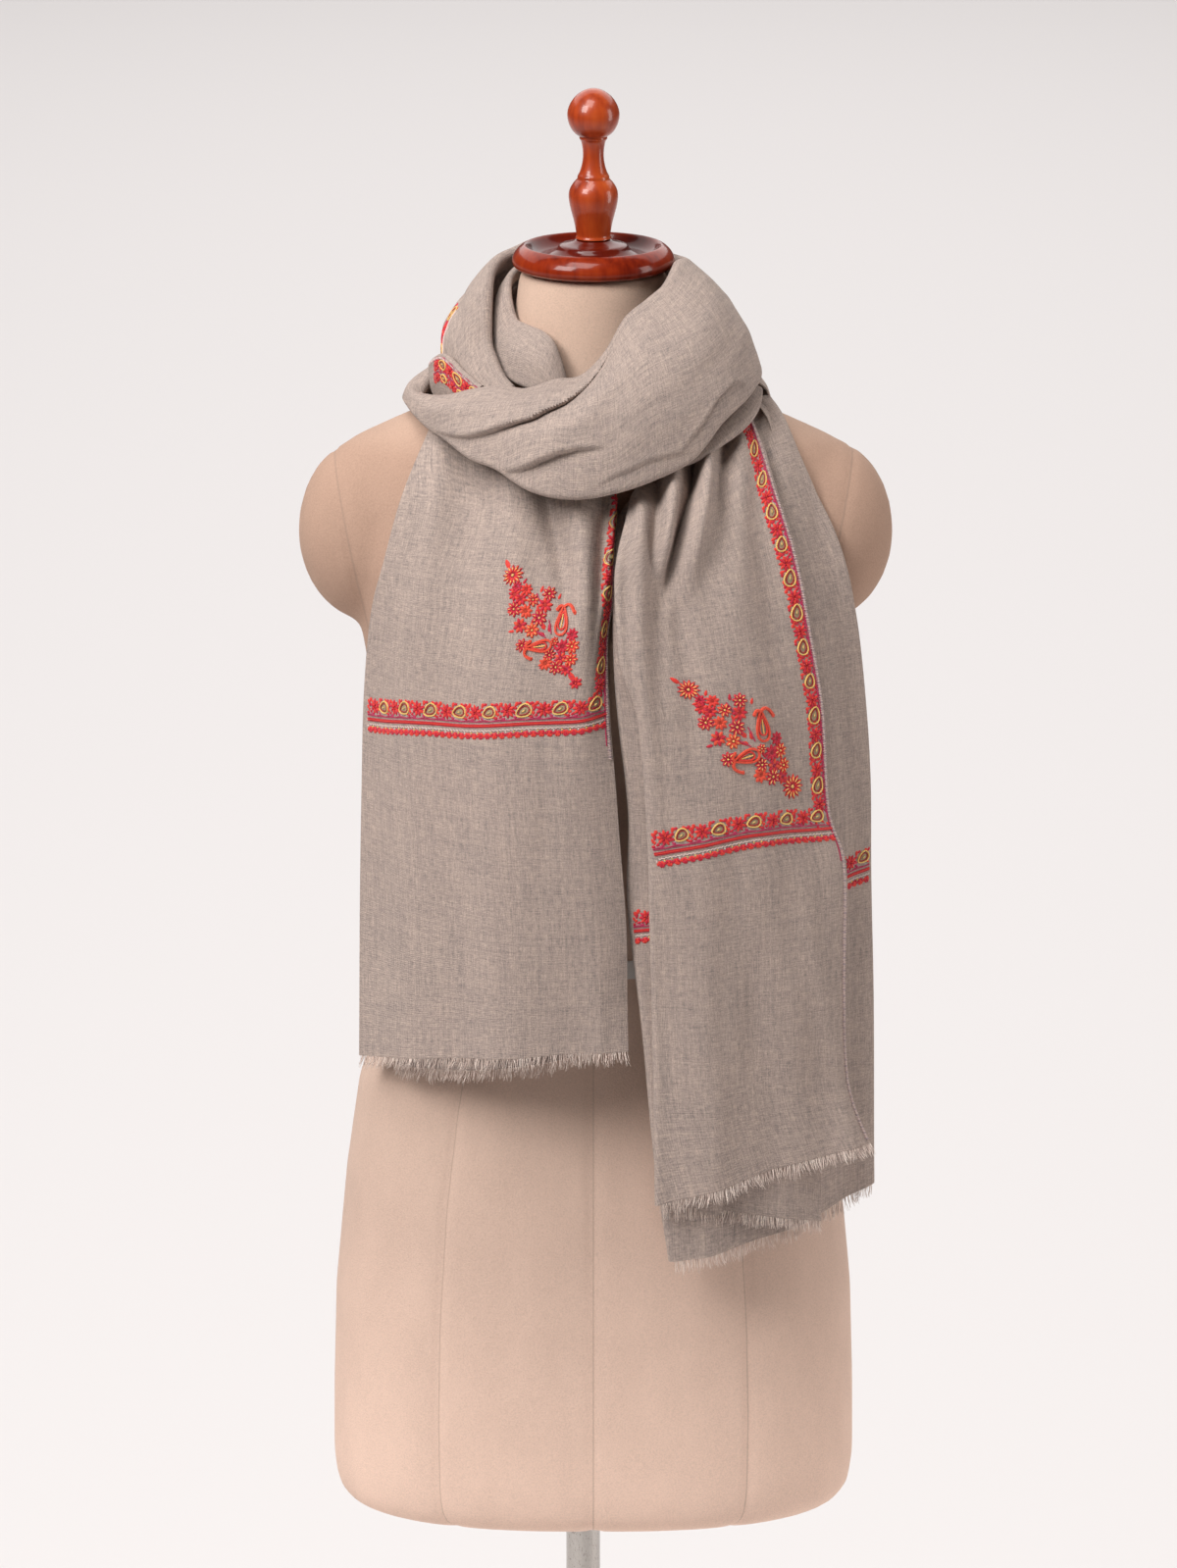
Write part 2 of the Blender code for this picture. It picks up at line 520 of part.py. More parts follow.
def tail_line(row, down, stations, pleats, curled):
    """Points across a hanging end at one level; curled names the edges that are folds."""
    points = []
    for across in spread(0, 1, stations):
        stand = 0.0
        for place, half_width, top_stand, reach in pleats:
            fade = max(0.0, 1 - down / reach)
            stand += top_stand * fade * math.exp(-((across - place) / half_width) ** 2)
        points.append(tail_point(row, across) + Vector((0, -stand, 0)))
    left, right = folded_edge(points[0], points[1]), folded_edge(points[-1], points[-2])
    if "left" in curled:
        points = left[::-1] + points
    if "right" in curled:
        points = points + right
    return points


def make_tail(name, rows, levels, stations, pleats, curled, collection):
    """A hanging end of the shawl and, a hair below its hem, the solid of its fringe."""
    lines = []
    for place in spread(0, len(rows) - 1, levels):
        down = place / (len(rows) - 1)
        lines.append(tail_line(along_rows(rows, place), down, stations, pleats, curled))
    make_sheet(name, lines, "shawl", collection)
    hem = lines[-1]
    fall = [(low - high).normalized() for high, low in zip(lines[-2], hem)]
    start = [point + way * HEM_GAP for point, way in zip(hem, fall)]
    end = [point + way * (HEM_GAP + FRINGE_REACH) for point, way in zip(hem, fall)]
    make_sheet(name.replace("shawl", "fringe"), [start, end], "fringe", collection)


def make_shawl(collection):
    for name, sections, first, last, lines, stations, rim_curl, lip_curl, folds in WRAPS:
        make_wrap(name, sections, (first, last), lines, stations, (rim_curl, lip_curl), folds,
                  collection)
    for name, rows, levels, stations, pleats, curled in TAILS:
        make_tail(name, rows, levels, stations, pleats, curled, collection)


def main():
    clear_scene()
    collection = bpy.data.collections.new("pashmina_shawl_on_form")
    bpy.context.scene.collection.children.link(collection)
    make_body(collection)
    make_waist_tape(collection)
    make_stand(collection)
    make_shawl(collection)


main()
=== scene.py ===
"""Looks of an embroidered pashmina shawl wound round the neck of a limbless dress form.

The frame is loaded first.  One operator then makes each group of pieces: the padded body, its
waist tape, the turned wood, the stand, the shawl's winding, its loose folds, its hanging ends,
the fringe and the needlework.  The last one sets the stage.
"""
import math

import bmesh
import bpy
import numpy as np
from bpy.props import FloatProperty, FloatVectorProperty, PointerProperty
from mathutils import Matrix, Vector


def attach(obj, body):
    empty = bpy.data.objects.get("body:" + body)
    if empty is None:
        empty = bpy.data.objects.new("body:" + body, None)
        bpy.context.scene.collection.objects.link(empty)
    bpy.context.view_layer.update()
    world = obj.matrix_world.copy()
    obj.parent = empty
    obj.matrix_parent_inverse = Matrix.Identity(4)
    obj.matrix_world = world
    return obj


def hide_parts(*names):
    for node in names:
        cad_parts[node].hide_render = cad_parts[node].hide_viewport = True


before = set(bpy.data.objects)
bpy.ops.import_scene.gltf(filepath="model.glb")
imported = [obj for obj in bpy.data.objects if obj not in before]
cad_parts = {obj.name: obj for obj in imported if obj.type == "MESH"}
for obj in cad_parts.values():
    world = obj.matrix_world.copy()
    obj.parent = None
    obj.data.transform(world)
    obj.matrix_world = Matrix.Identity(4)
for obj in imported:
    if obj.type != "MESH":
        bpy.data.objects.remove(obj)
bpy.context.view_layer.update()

bl_info = {
    "name": "Pashmina shawl on a dress form",
    "version": (1, 0, 0),
    "blender": (4, 5, 0),
    "location": "View3D > Sidebar > Shawl",
    "description": "Builds the shawl, its needlework and the dress form that wears it",
    "category": "Object",
}

# --- Sizes that the pieces share, in metres ----------------------------------------------------

BODY_X = 0.007          # the padded body sits this far to the right of its pole
NECK_TOP = 1.6375
BODY_BOTTOM = 0.7875
BODY_WIDE = 0.172       # half the body's width and depth at its hips
BODY_DEEP = 0.115
SEAMS_TOP = 1.50        # the upright seams end here
SEAM_REACH = 0.0026     # half width of the groove along a seam
SEAM_SPREAD = 0.0070    # and of the shallow hollow round it
BODY_VOXEL = 0.0040     # grain of the body's even mesh
ARM_X = 0.1735          # the arm's seam crosses the height below at this distance from the axis
ARM_HEIGHT = 1.525
ARM_SLOPE = 0.20        # and leans outwards by this much for each metre up
ARM_SEAM_FOOT = 1.38
DISH_RADIUS = 0.0465
POLE_RADIUS = 0.0117
POLE_FOOT = 0.0300
SLEEVE_RADIUS = 0.0148
SLEEVE_LENGTH = 0.0260
RUNNING_GAP = 0.0003
LOOP_RADIUS = 0.12      # mean radius of the winding, to measure creases along it
WEAVE_RADIUS = 0.105    # and the one that its weave is measured on
SHARP, TURNED_SHARP, STITCH_SHARP = (math.radians(degrees) for degrees in (50, 40, 60))

WRAP_SECTIONS = [
    # turn, rim radius, rim height, lip radius, lip height, crown
    (40, 0.0850, 1.5700, 0.0880, 1.5470, 0.003),
    (48, 0.0830, 1.5760, 0.0890, 1.5500, 0.004),
    (57, 0.0805, 1.5860, 0.0915, 1.5530, 0.006),
    (66, 0.0785, 1.5970, 0.0945, 1.5570, 0.008),
    (74, 0.0755, 1.6150, 0.0970, 1.5600, 0.009),
    (84, 0.0725, 1.6310, 0.1000, 1.5630, 0.010),
    (105, 0.0700, 1.6400, 0.1000, 1.5660, 0.010),
    (128, 0.0690, 1.6430, 0.0970, 1.5690, 0.010),
    (150, 0.0685, 1.6475, 0.0930, 1.5730, 0.009),
    (180, 0.0685, 1.6470, 0.0900, 1.5750, 0.008),
    (205, 0.0680, 1.6430, 0.0910, 1.5740, 0.009),
    (232, 0.0665, 1.6395, 0.0960, 1.5730, 0.009),
    (256, 0.0645, 1.6410, 0.1030, 1.5720, 0.008),
    (272, 0.0625, 1.6440, 0.1080, 1.5770, 0.008),
    (287, 0.0610, 1.6460, 0.1150, 1.5740, 0.010),
    (300, 0.0640, 1.6440, 0.1180, 1.5670, 0.012),
    (315, 0.0675, 1.6350, 0.1210, 1.5560, 0.015),
    (328, 0.0685, 1.6275, 0.1240, 1.5350, 0.018),
    (342, 0.0695, 1.6170, 0.1270, 1.5245, 0.020),
    (354, 0.0735, 1.5960, 0.1305, 1.5180, 0.021),
    (366, 0.0780, 1.5815, 0.1335, 1.5150, 0.020),
    (378, 0.0820, 1.5790, 0.1320, 1.5185, 0.018),
    (390, 0.0890, 1.5730, 0.1285, 1.5300, 0.015),
    (400, 0.0945, 1.5740, 0.1270, 1.5340, 0.012),
    (411, 0.1025, 1.5700, 0.1255, 1.5420, 0.010),
    (421, 0.1070, 1.5640, 0.1245, 1.5455, 0.008),
    (432, 0.1110, 1.5595, 0.1245, 1.5500, 0.006),
    (445, 0.1150, 1.5560, 0.1245, 1.5520, 0.004),
    (460, 0.1130, 1.5620, 0.1280, 1.5480, 0.004),
    (475, 0.1085, 1.5700, 0.1320, 1.5360, 0.006),
    (490, 0.1060, 1.5860, 0.1350, 1.5160, 0.007),
    (505, 0.1055, 1.5960, 0.1350, 1.4960, 0.008),
    (520, 0.1050, 1.6000, 0.1300, 1.4780, 0.008),
    (540, 0.1040, 1.6010, 0.1240, 1.4680, 0.008),
    (560, 0.1050, 1.6000, 0.1290, 1.4740, 0.008),
    (580, 0.1065, 1.5920, 0.1370, 1.4960, 0.008),
    (600, 0.1075, 1.5740, 0.1310, 1.5260, 0.006),
    (615, 0.1085, 1.5650, 0.1210, 1.5440, 0.003),
    (630, 0.1090, 1.5610, 0.1165, 1.5510, 0.002),
]
# Places of the winding's rows in that table, closest together where it crosses the front.
WRAP_PLACES = np.concatenate([np.linspace(0, 14, 110)[:-1], np.linspace(14, 27, 190)[:-1],
                              np.linspace(27, 38, 110)])
FIRST_TURN = 109        # rows of the first of these three stretches
INNER_FOLD_SECTIONS = [
    (16, 0.0665, 1.5770, 0.0735, 1.5600, 0.003),
    (20, 0.0640, 1.5880, 0.0740, 1.5640, 0.003),
    (26, 0.0615, 1.5990, 0.0740, 1.5690, 0.004),
    (36, 0.0590, 1.6045, 0.0740, 1.5720, 0.004),
    (52, 0.0574, 1.6065, 0.0725, 1.5760, 0.004),
    (68, 0.0574, 1.6085, 0.0700, 1.5850, 0.003),
    (80, 0.0580, 1.6200, 0.0670, 1.6010, 0.003),
    (95, 0.0580, 1.6290, 0.0640, 1.6130, 0.002),
    (115, 0.0585, 1.6330, 0.0625, 1.6180, 0.001),
]
UNDER_FOLD_SECTIONS = [
    (280, 0.1020, 1.5650, 0.1120, 1.5620, 0.001),
    (292, 0.1030, 1.5610, 0.1165, 1.5540, 0.002),
    (303, 0.1040, 1.5550, 0.1185, 1.5470, 0.002),
    (316, 0.1060, 1.5460, 0.1190, 1.5390, 0.002),
    (327, 0.1077, 1.5355, 0.1167, 1.5300, 0.002),
    (337, 0.1070, 1.5330, 0.1130, 1.5280, 0.001),
]
EDGE_FOLD_SECTIONS = [
    (412, 0.0943, 1.5690, 0.0948, 1.5600, 0.000),
    (422, 0.0985, 1.5770, 0.0985, 1.5580, 0.001),
    (432, 0.1040, 1.5850, 0.1020, 1.5560, 0.001),
    (444, 0.1080, 1.5770, 0.1060, 1.5560, 0.001),
    (455, 0.1090, 1.5680, 0.1070, 1.5560, 0.000),
]

# Creases of the winding.  Each is a run of (turn, share of the way from rim to lip, height in
# millimetres, half width in millimetres).  A ridge stands out, a negative one is a trough, and
# a flap is cloth that folds over the cloth below it.
WRAP_CREASES = [
    ("flap", [(338, -0.02, 0.0, 7), (346, 0.00, 1.6, 7), (352, 0.03, 2.6, 8), (357, 0.09, 3.4, 8),
              (362, 0.15, 4.2, 9), (366, 0.21, 4.8, 10), (370, 0.29, 5.2, 11), (375, 0.36, 5.6, 11),
              (379, 0.44, 5.8, 11), (384, 0.51, 5.6, 11), (392, 0.67, 5.0, 10),
              (400, 0.79, 4.2, 8), (410, 0.94, 2.8, 6), (418, 1.06, 0.0, 4)]),
    ("flap", [(355, 0.76, 0.0, 10), (360, 0.72, 1.8, 10), (365, 0.70, 3.6, 11),
              (370, 0.72, 5.4, 11), (375, 0.78, 6.0, 10), (380, 0.87, 5.2, 8), (386, 0.99, 3.4, 6),
              (390, 1.08, 0.0, 5)]),
    ("ridge", [(352, 0.48, 0.0, 10), (360, 0.50, 2.4, 11), (368, 0.54, 3.0, 11),
               (376, 0.66, 1.6, 9), (384, 0.84, 0.0, 7)]),
    ("flap", [(326, 0.99, 0.0, 5), (334, 0.93, 1.8, 5), (344, 0.90, 2.4, 5), (354, 0.92, 2.0, 5),
              (362, 0.99, 0.0, 5)]),
    ("flap", [(299, 1.02, 0.0, 4), (304, 0.90, 2.4, 4), (310, 0.84, 3.0, 5), (318, 0.84, 2.6, 5),
              (328, 0.88, 2.0, 5), (336, 0.96, 0.0, 4)]),
    ("ridge", [(284, 0.30, 0.0, 9), (296, 0.34, 1.2, 10), (320, 0.40, 1.0, 12),
               (346, 0.44, 0.0, 12)]),
    ("ridge", [(290, 0.62, 0.0, 8), (306, 0.64, -1.0, 8), (330, 0.66, -0.8, 9), (348, 0.68, 0, 9)]),
    ("ridge", [(344, 0.22, 0.0, 9), (352, 0.26, 2.0, 10), (360, 0.36, 2.0, 10), (366, 0.46, 0, 9)]),
    ("ridge", [(392, 0.24, 0.0, 4), (402, 0.24, -1.8, 4), (414, 0.30, -2.0, 4),
               (428, 0.42, 0.0, 4)]),
    ("ridge", [(376, 0.16, 0.0, 6), (386, 0.30, 1.6, 6), (398, 0.46, 2.0, 6), (412, 0.60, 1.6, 5),
               (424, 0.7, 0.0, 4)]),
    ("ridge", [(60, 0.36, 0.0, 6), (84, 0.34, -2.2, 6), (110, 0.30, -2.0, 6), (150, 0.26, 0, 6)]),
    ("ridge", [(74, 0.60, 0.0, 7), (100, 0.62, 2.2, 7), (135, 0.56, 1.8, 8), (180, 0.50, 0, 8)]),
    ("ridge", [(140, 0.20, 0.0, 6), (170, 0.26, -2.0, 6), (210, 0.22, -2.0, 6), (262, 0.30, 0, 6)]),
    ("flap", [(470, 0.30, 0.0, 7), (488, 0.34, 2.4, 8), (512, 0.42, 3.8, 9), (545, 0.40, 4.0, 9),
              (575, 0.36, 2.6, 8), (600, 0.34, 0.0, 6)]),
    ("flap", [(478, 0.66, 0.0, 7), (500, 0.66, 2.4, 9), (530, 0.72, 3.4, 10),
              (560, 0.74, 3.0, 10), (588, 0.70, 0.0, 7)]),
    ("ridge", [(484, 0.12, 0.0, 5), (510, 0.16, 2.0, 6), (550, 0.14, 2.2, 6), (590, 0.16, 0, 5)]),
]

# Rows of a hanging end: left edge, middle and right edge of one level, from the body's axis.
TAIL_LEFT = [
    (-0.1050, -0.0480, 1.5430, -0.0450, -0.0820, 1.5320, 0.0140, -0.0920, 1.5180),
    (-0.1235, -0.0690, 1.5000, -0.0500, -0.1040, 1.5000, 0.0150, -0.1120, 1.5000),
    (-0.1365, -0.0730, 1.4550, -0.0580, -0.1240, 1.4550, 0.0145, -0.1300, 1.4550),
    (-0.1455, -0.0670, 1.4200, -0.0620, -0.1340, 1.4200, 0.0120, -0.1390, 1.4200),
    (-0.1510, -0.0600, 1.3650, -0.0660, -0.1400, 1.3650, 0.0100, -0.1430, 1.3650),
    (-0.1530, -0.0590, 1.3000, -0.0660, -0.1410, 1.3000, 0.0145, -0.1440, 1.3000),
    (-0.1545, -0.0570, 1.2200, -0.0660, -0.1400, 1.2200, 0.0210, -0.1430, 1.2200),
    (-0.1560, -0.0580, 1.1140, -0.0660, -0.1390, 1.1365, 0.0210, -0.1420, 1.1425),
]
TAIL_LEFT_UNDER = [
    (-0.1120, -0.0640, 1.4900, -0.0500, -0.0900, 1.4900, 0.0080, -0.0960, 1.4900),
    (-0.1294, -0.0723, 1.4300, -0.0580, -0.1135, 1.4300, 0.0020, -0.1205, 1.4300),
    (-0.1320, -0.0740, 1.3650, -0.0620, -0.1330, 1.3650, 0.0010, -0.1370, 1.3650),
    (-0.1320, -0.0720, 1.2500, -0.0640, -0.1340, 1.2500, 0.0010, -0.1380, 1.2500),
    (-0.1310, -0.0740, 1.1130, -0.0660, -0.1330, 1.1270, 0.0030, -0.1360, 1.1420),
]
TAIL_RIGHT_FRONT = [
    (0.0265, -0.1000, 1.5080, 0.0640, -0.0800, 1.5300, 0.1024, -0.0382, 1.5516),
    (0.0235, -0.1200, 1.4960, 0.0690, -0.1010, 1.5120, 0.1114, -0.0622, 1.5336),
    (0.0185, -0.1360, 1.4730, 0.0730, -0.1160, 1.4880, 0.1200, -0.0800, 1.5060),
    (0.0175, -0.1430, 1.4500, 0.0780, -0.1240, 1.4560, 0.1335, -0.0950, 1.4650),
    (0.0205, -0.1490, 1.4050, 0.0840, -0.1340, 1.4100, 0.1435, -0.1010, 1.4150),
    (0.0315, -0.1500, 1.3640, 0.0920, -0.1390, 1.3650, 0.1515, -0.1020, 1.3650),
    (0.0375, -0.1490, 1.2920, 0.0960, -0.1400, 1.2950, 0.1560, -0.1020, 1.2970),
    (0.0390, -0.1490, 1.2500, 0.1000, -0.1400, 1.2550, 0.1665, -0.1020, 1.2580),
    (0.0412, -0.1490, 1.1800, 0.1030, -0.1400, 1.1800, 0.1672, -0.1020, 1.1800),
    (0.0427, -0.1490, 1.1150, 0.1040, -0.1400, 1.1150, 0.1690, -0.1020, 1.1100),
    (0.0438, -0.1480, 1.0375, 0.1090, -0.1390, 1.0555, 0.1850, -0.1030, 1.0670),
]
TAIL_RIGHT_MIDDLE = [
    (0.0300, -0.1140, 1.4850, 0.0700, -0.1030, 1.4850, 0.1120, -0.0880, 1.4850),
    (0.0300, -0.1400, 1.4150, 0.0800, -0.1290, 1.4150, 0.1330, -0.1030, 1.4150),
    (0.0400, -0.1430, 1.3500, 0.0900, -0.1350, 1.3500, 0.1430, -0.1050, 1.3500),
    (0.0430, -0.1440, 1.2500, 0.0950, -0.1360, 1.2500, 0.1500, -0.1060, 1.2500),
    (0.0440, -0.1440, 1.1400, 0.0970, -0.1360, 1.1400, 0.1510, -0.1080, 1.1400),
    (0.0460, -0.1430, 1.0360, 0.0980, -0.1350, 1.0280, 0.1515, -0.1080, 1.0140),
]
TAIL_RIGHT_BACK = [
    (0.0600, -0.0560, 1.5330, 0.0930, -0.0334, 1.5462, 0.1165, -0.0050, 1.5520),
    (0.0360, -0.0820, 1.5100, 0.0930, -0.0560, 1.5330, 0.1250, -0.0240, 1.5420),
    (0.0180, -0.1030, 1.4880, 0.0900, -0.0790, 1.5080, 0.1370, -0.0460, 1.5170),
    (0.0165, -0.1220, 1.4500, 0.0900, -0.1030, 1.4550, 0.1615, -0.0610, 1.4610),
    (0.0162, -0.1330, 1.4050, 0.0940, -0.1180, 1.4100, 0.1720, -0.0660, 1.4160),
    (0.0190, -0.1370, 1.3650, 0.0970, -0.1240, 1.3630, 0.1785, -0.0670, 1.3600),
    (0.0258, -0.1380, 1.3000, 0.1020, -0.1260, 1.3000, 0.1822, -0.0680, 1.3050),
    (0.0252, -0.1380, 1.2400, 0.1040, -0.1260, 1.2400, 0.1832, -0.0680, 1.2400),
    (0.0345, -0.1380, 1.1570, 0.1090, -0.1260, 1.1570, 0.1855, -0.0680, 1.1570),
    (0.0434, -0.1380, 1.0610, 0.1150, -0.1250, 1.0610, 0.1868, -0.0680, 1.0610),
    (0.0530, -0.1370, 0.9950, 0.1170, -0.1210, 1.0070, 0.1872, -0.0680, 1.0270),
]

# Folds of a hanging end: runs of (x from the axis, height, stand in mm, half width in mm).
FOLDS_LEFT = [
    [(-0.0390, 1.530, -6.0, 8), (-0.0310, 1.506, -9.0, 8), (-0.0210, 1.469, -6.5, 8),
     (-0.0172, 1.448, -3.0, 8), (-0.0150, 1.420, 0.0, 8)],
    [(-0.0110, 1.520, 5.0, 8), (-0.0089, 1.503, 7.0, 8), (-0.0057, 1.460, 6.0, 9),
     (-0.0045, 1.409, 3.5, 10), (-0.0040, 1.330, 0.0, 12)],
    [(0.0080, 1.510, -5.0, 5), (0.0060, 1.480, -6.0, 6), (0.0030, 1.440, -5.0, 6),
     (0.0008, 1.405, -3.0, 7), (0.0000, 1.330, 0.0, 8)],
    [(-0.0760, 1.525, -7.0, 14), (-0.0830, 1.480, -5.0, 15), (-0.0900, 1.420, 0.0, 16)],
    [(-0.1000, 1.510, 5.0, 9), (-0.1080, 1.460, 4.0, 11), (-0.1150, 1.380, 2.2, 13),
     (-0.1200, 1.280, 2.2, 14), (-0.1220, 1.110, 3.0, 14)],
    [(-0.0540, 1.520, 4.0, 9), (-0.0520, 1.480, 4.0, 10), (-0.0480, 1.430, 2.0, 12),
     (-0.0460, 1.380, 0.0, 12)],
    [(-0.0640, 1.400, 0.0, 12), (-0.0620, 1.320, 1.4, 14), (-0.0580, 1.220, 2.2, 14),
     (-0.0560, 1.110, 3.4, 14)],
    [(-0.0340, 1.360, 0.0, 10), (-0.0300, 1.280, -1.8, 12), (-0.0260, 1.200, -2.4, 12),
     (-0.0240, 1.110, -3.6, 12)],
    [(-0.0900, 1.340, 0.0, 10), (-0.0900, 1.240, -1.8, 12), (-0.0880, 1.110, -3.0, 12)],
    [(0.0020, 1.220, 0.0, 8), (0.0060, 1.170, 2.0, 8), (0.0080, 1.120, 5.0, 8)],
]
FOLDS_RIGHT = [
    [(0.0317, 1.519, 4.0, 6), (0.0290, 1.480, 6.0, 6), (0.0290, 1.428, 6.0, 7),
     (0.0345, 1.362, 4.0, 7), (0.0400, 1.296, 2.6, 8), (0.0440, 1.200, 0.0, 10)],
    [(0.0420, 1.520, -6.0, 4), (0.0400, 1.470, -6.0, 5), (0.0410, 1.430, -4.5, 6),
     (0.0460, 1.375, -0.6, 7), (0.0500, 1.300, 0.0, 8)],
    [(0.0560, 1.535, 8.0, 5), (0.0530, 1.515, 11.0, 5), (0.0480, 1.490, 9.0, 5),
     (0.0420, 1.465, 4.0, 5), (0.0380, 1.445, 0.0, 5)],
    [(0.0780, 1.545, 8.0, 6), (0.0740, 1.520, 12.0, 6), (0.0690, 1.495, 11.0, 6),
     (0.0640, 1.470, 6.0, 6), (0.0590, 1.440, 0.0, 7)],
    [(0.0670, 1.535, -12.0, 3.6), (0.0640, 1.512, -14.0, 3.6), (0.0570, 1.490, -12.0, 3.6),
     (0.0510, 1.465, -6.0, 4), (0.0450, 1.435, 0.0, 5)],
    [(0.0500, 1.480, 0.0, 6), (0.0540, 1.455, -4.0, 7), (0.0574, 1.422, -4.6, 8),
     (0.0644, 1.368, -2.8, 10), (0.0700, 1.300, 0.0, 12)],
    [(0.0870, 1.545, -8.0, 6), (0.0850, 1.505, -5.0, 7), (0.0830, 1.460, 0.0, 8)],
    [(0.0940, 1.500, 3.0, 9), (0.0920, 1.440, 3.4, 11), (0.0920, 1.360, 0.0, 14)],
    [(0.1080, 1.500, -3.4, 8), (0.1160, 1.440, -3.8, 9), (0.1260, 1.340, -2.4, 11),
     (0.1300, 1.240, -2.0, 12), (0.1340, 1.140, 0.0, 12)],
    [(0.1370, 1.260, 0.0, 8), (0.1450, 1.205, 2.4, 8), (0.1520, 1.165, 3.6, 8),
     (0.1600, 1.125, 4.4, 8), (0.1720, 1.060, 5.0, 9)],
    [(0.0740, 1.300, 0.0, 14), (0.0760, 1.200, 2.6, 14), (0.0800, 1.040, 5.0, 14)],
    [(0.1080, 1.260, 0.0, 13), (0.1100, 1.160, -2.6, 13), (0.1180, 1.040, -5.0, 13)],
]
FOLDS_BACK = [
    [(0.1250, 1.500, 3.0, 10), (0.1350, 1.400, 3.0, 12), (0.1400, 1.200, 2.0, 14),
     (0.1400, 1.000, 3.0, 14)],
    [(0.1000, 1.480, -2.0, 12), (0.1060, 1.300, -2.0, 14), (0.1100, 1.000, -2.5, 14)],
    [(0.1500, 1.480, -4.0, 7), (0.1620, 1.400, -3.0, 8), (0.1700, 1.300, -2.0, 9),
     (0.1720, 1.000, -2.5, 10)],
]
FOLDS_MIDDLE = [
    [(0.0800, 1.300, 0.0, 12), (0.0820, 1.100, -2.0, 14), (0.0850, 1.010, -3.0, 14)],
    [(0.1180, 1.250, 0.0, 12), (0.1220, 1.100, 2.0, 12), (0.1250, 1.010, 3.0, 12)],
]
TAILS = [
    # name, its CAD nodes, rows, folds, edges that are folded, seed, ripple at the hem
    ("end_left", "tail_left", TAIL_LEFT, FOLDS_LEFT, ("left",), 3, 0.0020),
    ("end_left_under", "tail_left_under", TAIL_LEFT_UNDER, [], (), 5, 0.0015),
    ("end_right_front", "tail_right_front", TAIL_RIGHT_FRONT, FOLDS_RIGHT, ("left",), 7, 0.0025),
    ("end_right_middle", "tail_right_middle", TAIL_RIGHT_MIDDLE, FOLDS_MIDDLE, (), 9, 0.0015),
    ("end_right_back", "tail_right_back", TAIL_RIGHT_BACK, FOLDS_BACK, ("left", "right"), 11,
     0.0020),
]

# Rows and columns of the layers that other cloth mostly covers; the rest have 190 and 130.
END_GRIDS = {"end_left_under": (130, 90), "end_right_middle": (130, 90),
             "end_right_back": (150, 130)}

CLOTH_WALL = 0.0009     # thickness of the woven cloth
ROLL = 0.0036           # radius at which the winding's edges roll over
FOLD_ROLL = 0.0030      # radius of a hanging end's folded edge
TURN_UNDER = 0.0140     # how far a folded edge runs back behind the cloth
TURNED_BACK = 0.0150    # width of the left end's inner edge that turns back towards the body
TURN_RADIUS = 0.0030    # radius of that turn
ROLL_SHARE = 0.97       # share of a half turn that a rolled edge makes
TUCK_DRIFT = 0.0006     # how much the cloth draws in with each step behind it
FLAP_EDGE = 0.0004      # how suddenly a flap ends
CALM_EDGE = 0.06        # share of a hanging end's width over which folds die out at its edges
# How far the left end's inner edge is turned back, in degrees, at falling heights.
LEFT_TURNED = ((1.530, 92), (1.500, 86), (1.480, 76), (1.455, 62), (1.430, 46), (1.400, 22),
               (1.375, 4), (1.350, 0))


# --- Settings a user would change --------------------------------------------------------------

class ShawlSettings(bpy.types.PropertyGroup):
    """The shawl's yarns, fringe and border"""
    wool_light: FloatVectorProperty(
        name="Light yarn", description="Colour of the pale yarn in the cloth",
        default=(0.560, 0.436, 0.372), subtype="COLOR", size=3, min=0, max=1)
    wool_dark: FloatVectorProperty(
        name="Dark yarn", description="Colour of the grey yarn in the cloth",
        default=(0.225, 0.190, 0.180), subtype="COLOR", size=3, min=0, max=1)
    yarn: FloatProperty(
        name="Yarn", description="Width of one yarn of the weave",
        default=0.00055, unit="LENGTH", min=0.0002, max=0.003)
    fringe_length: FloatProperty(
        name="Fringe", description="Length of the loose threads at the hems",
        default=0.0088, unit="LENGTH", min=0.003, max=0.03)
    repeat: FloatProperty(
        name="Repeat", description="Length of one repeat of the embroidered border",
        default=0.0245, unit="LENGTH", min=0.015, max=0.06)


class FormSettings(bpy.types.PropertyGroup):
    """The dress form's cover and wood"""
    nap: FloatVectorProperty(
        name="Nap", description="Colour of the body's suede cover",
        default=(0.615, 0.450, 0.360), subtype="COLOR", size=3, min=0, max=1)
    wood: FloatVectorProperty(
        name="Wood", description="Colour of the lacquered wood where light falls on it",
        default=(0.370, 0.045, 0.0080), subtype="COLOR", size=3, min=0, max=1)
    seam_depth: FloatProperty(
        name="Seam depth", description="How far the body's seams draw in its cover",
        default=0.0011, unit="LENGTH", min=0, max=0.004)


# --- Curves, noise and meshes ------------------------------------------------------------------

def along_rows(rows, places):
    """Rows of numbers on a smooth curve through a table, one for each place along it."""
    table = np.array(rows, float)
    last = len(table) - 1
    places = np.clip(np.asarray(places, float), 0, last)
    index = np.minimum(places.astype(int), last - 1)
    share = (places - index)[:, None]
    a = table[np.maximum(index - 1, 0)]
    b = table[index]
    c = table[index + 1]
    d = table[np.minimum(index + 2, last)]
    return b + 0.5 * share * (c - a + share * (2 * a - 5 * b + 4 * c - d
                                               + share * (3 * b - 3 * c + d - a)))


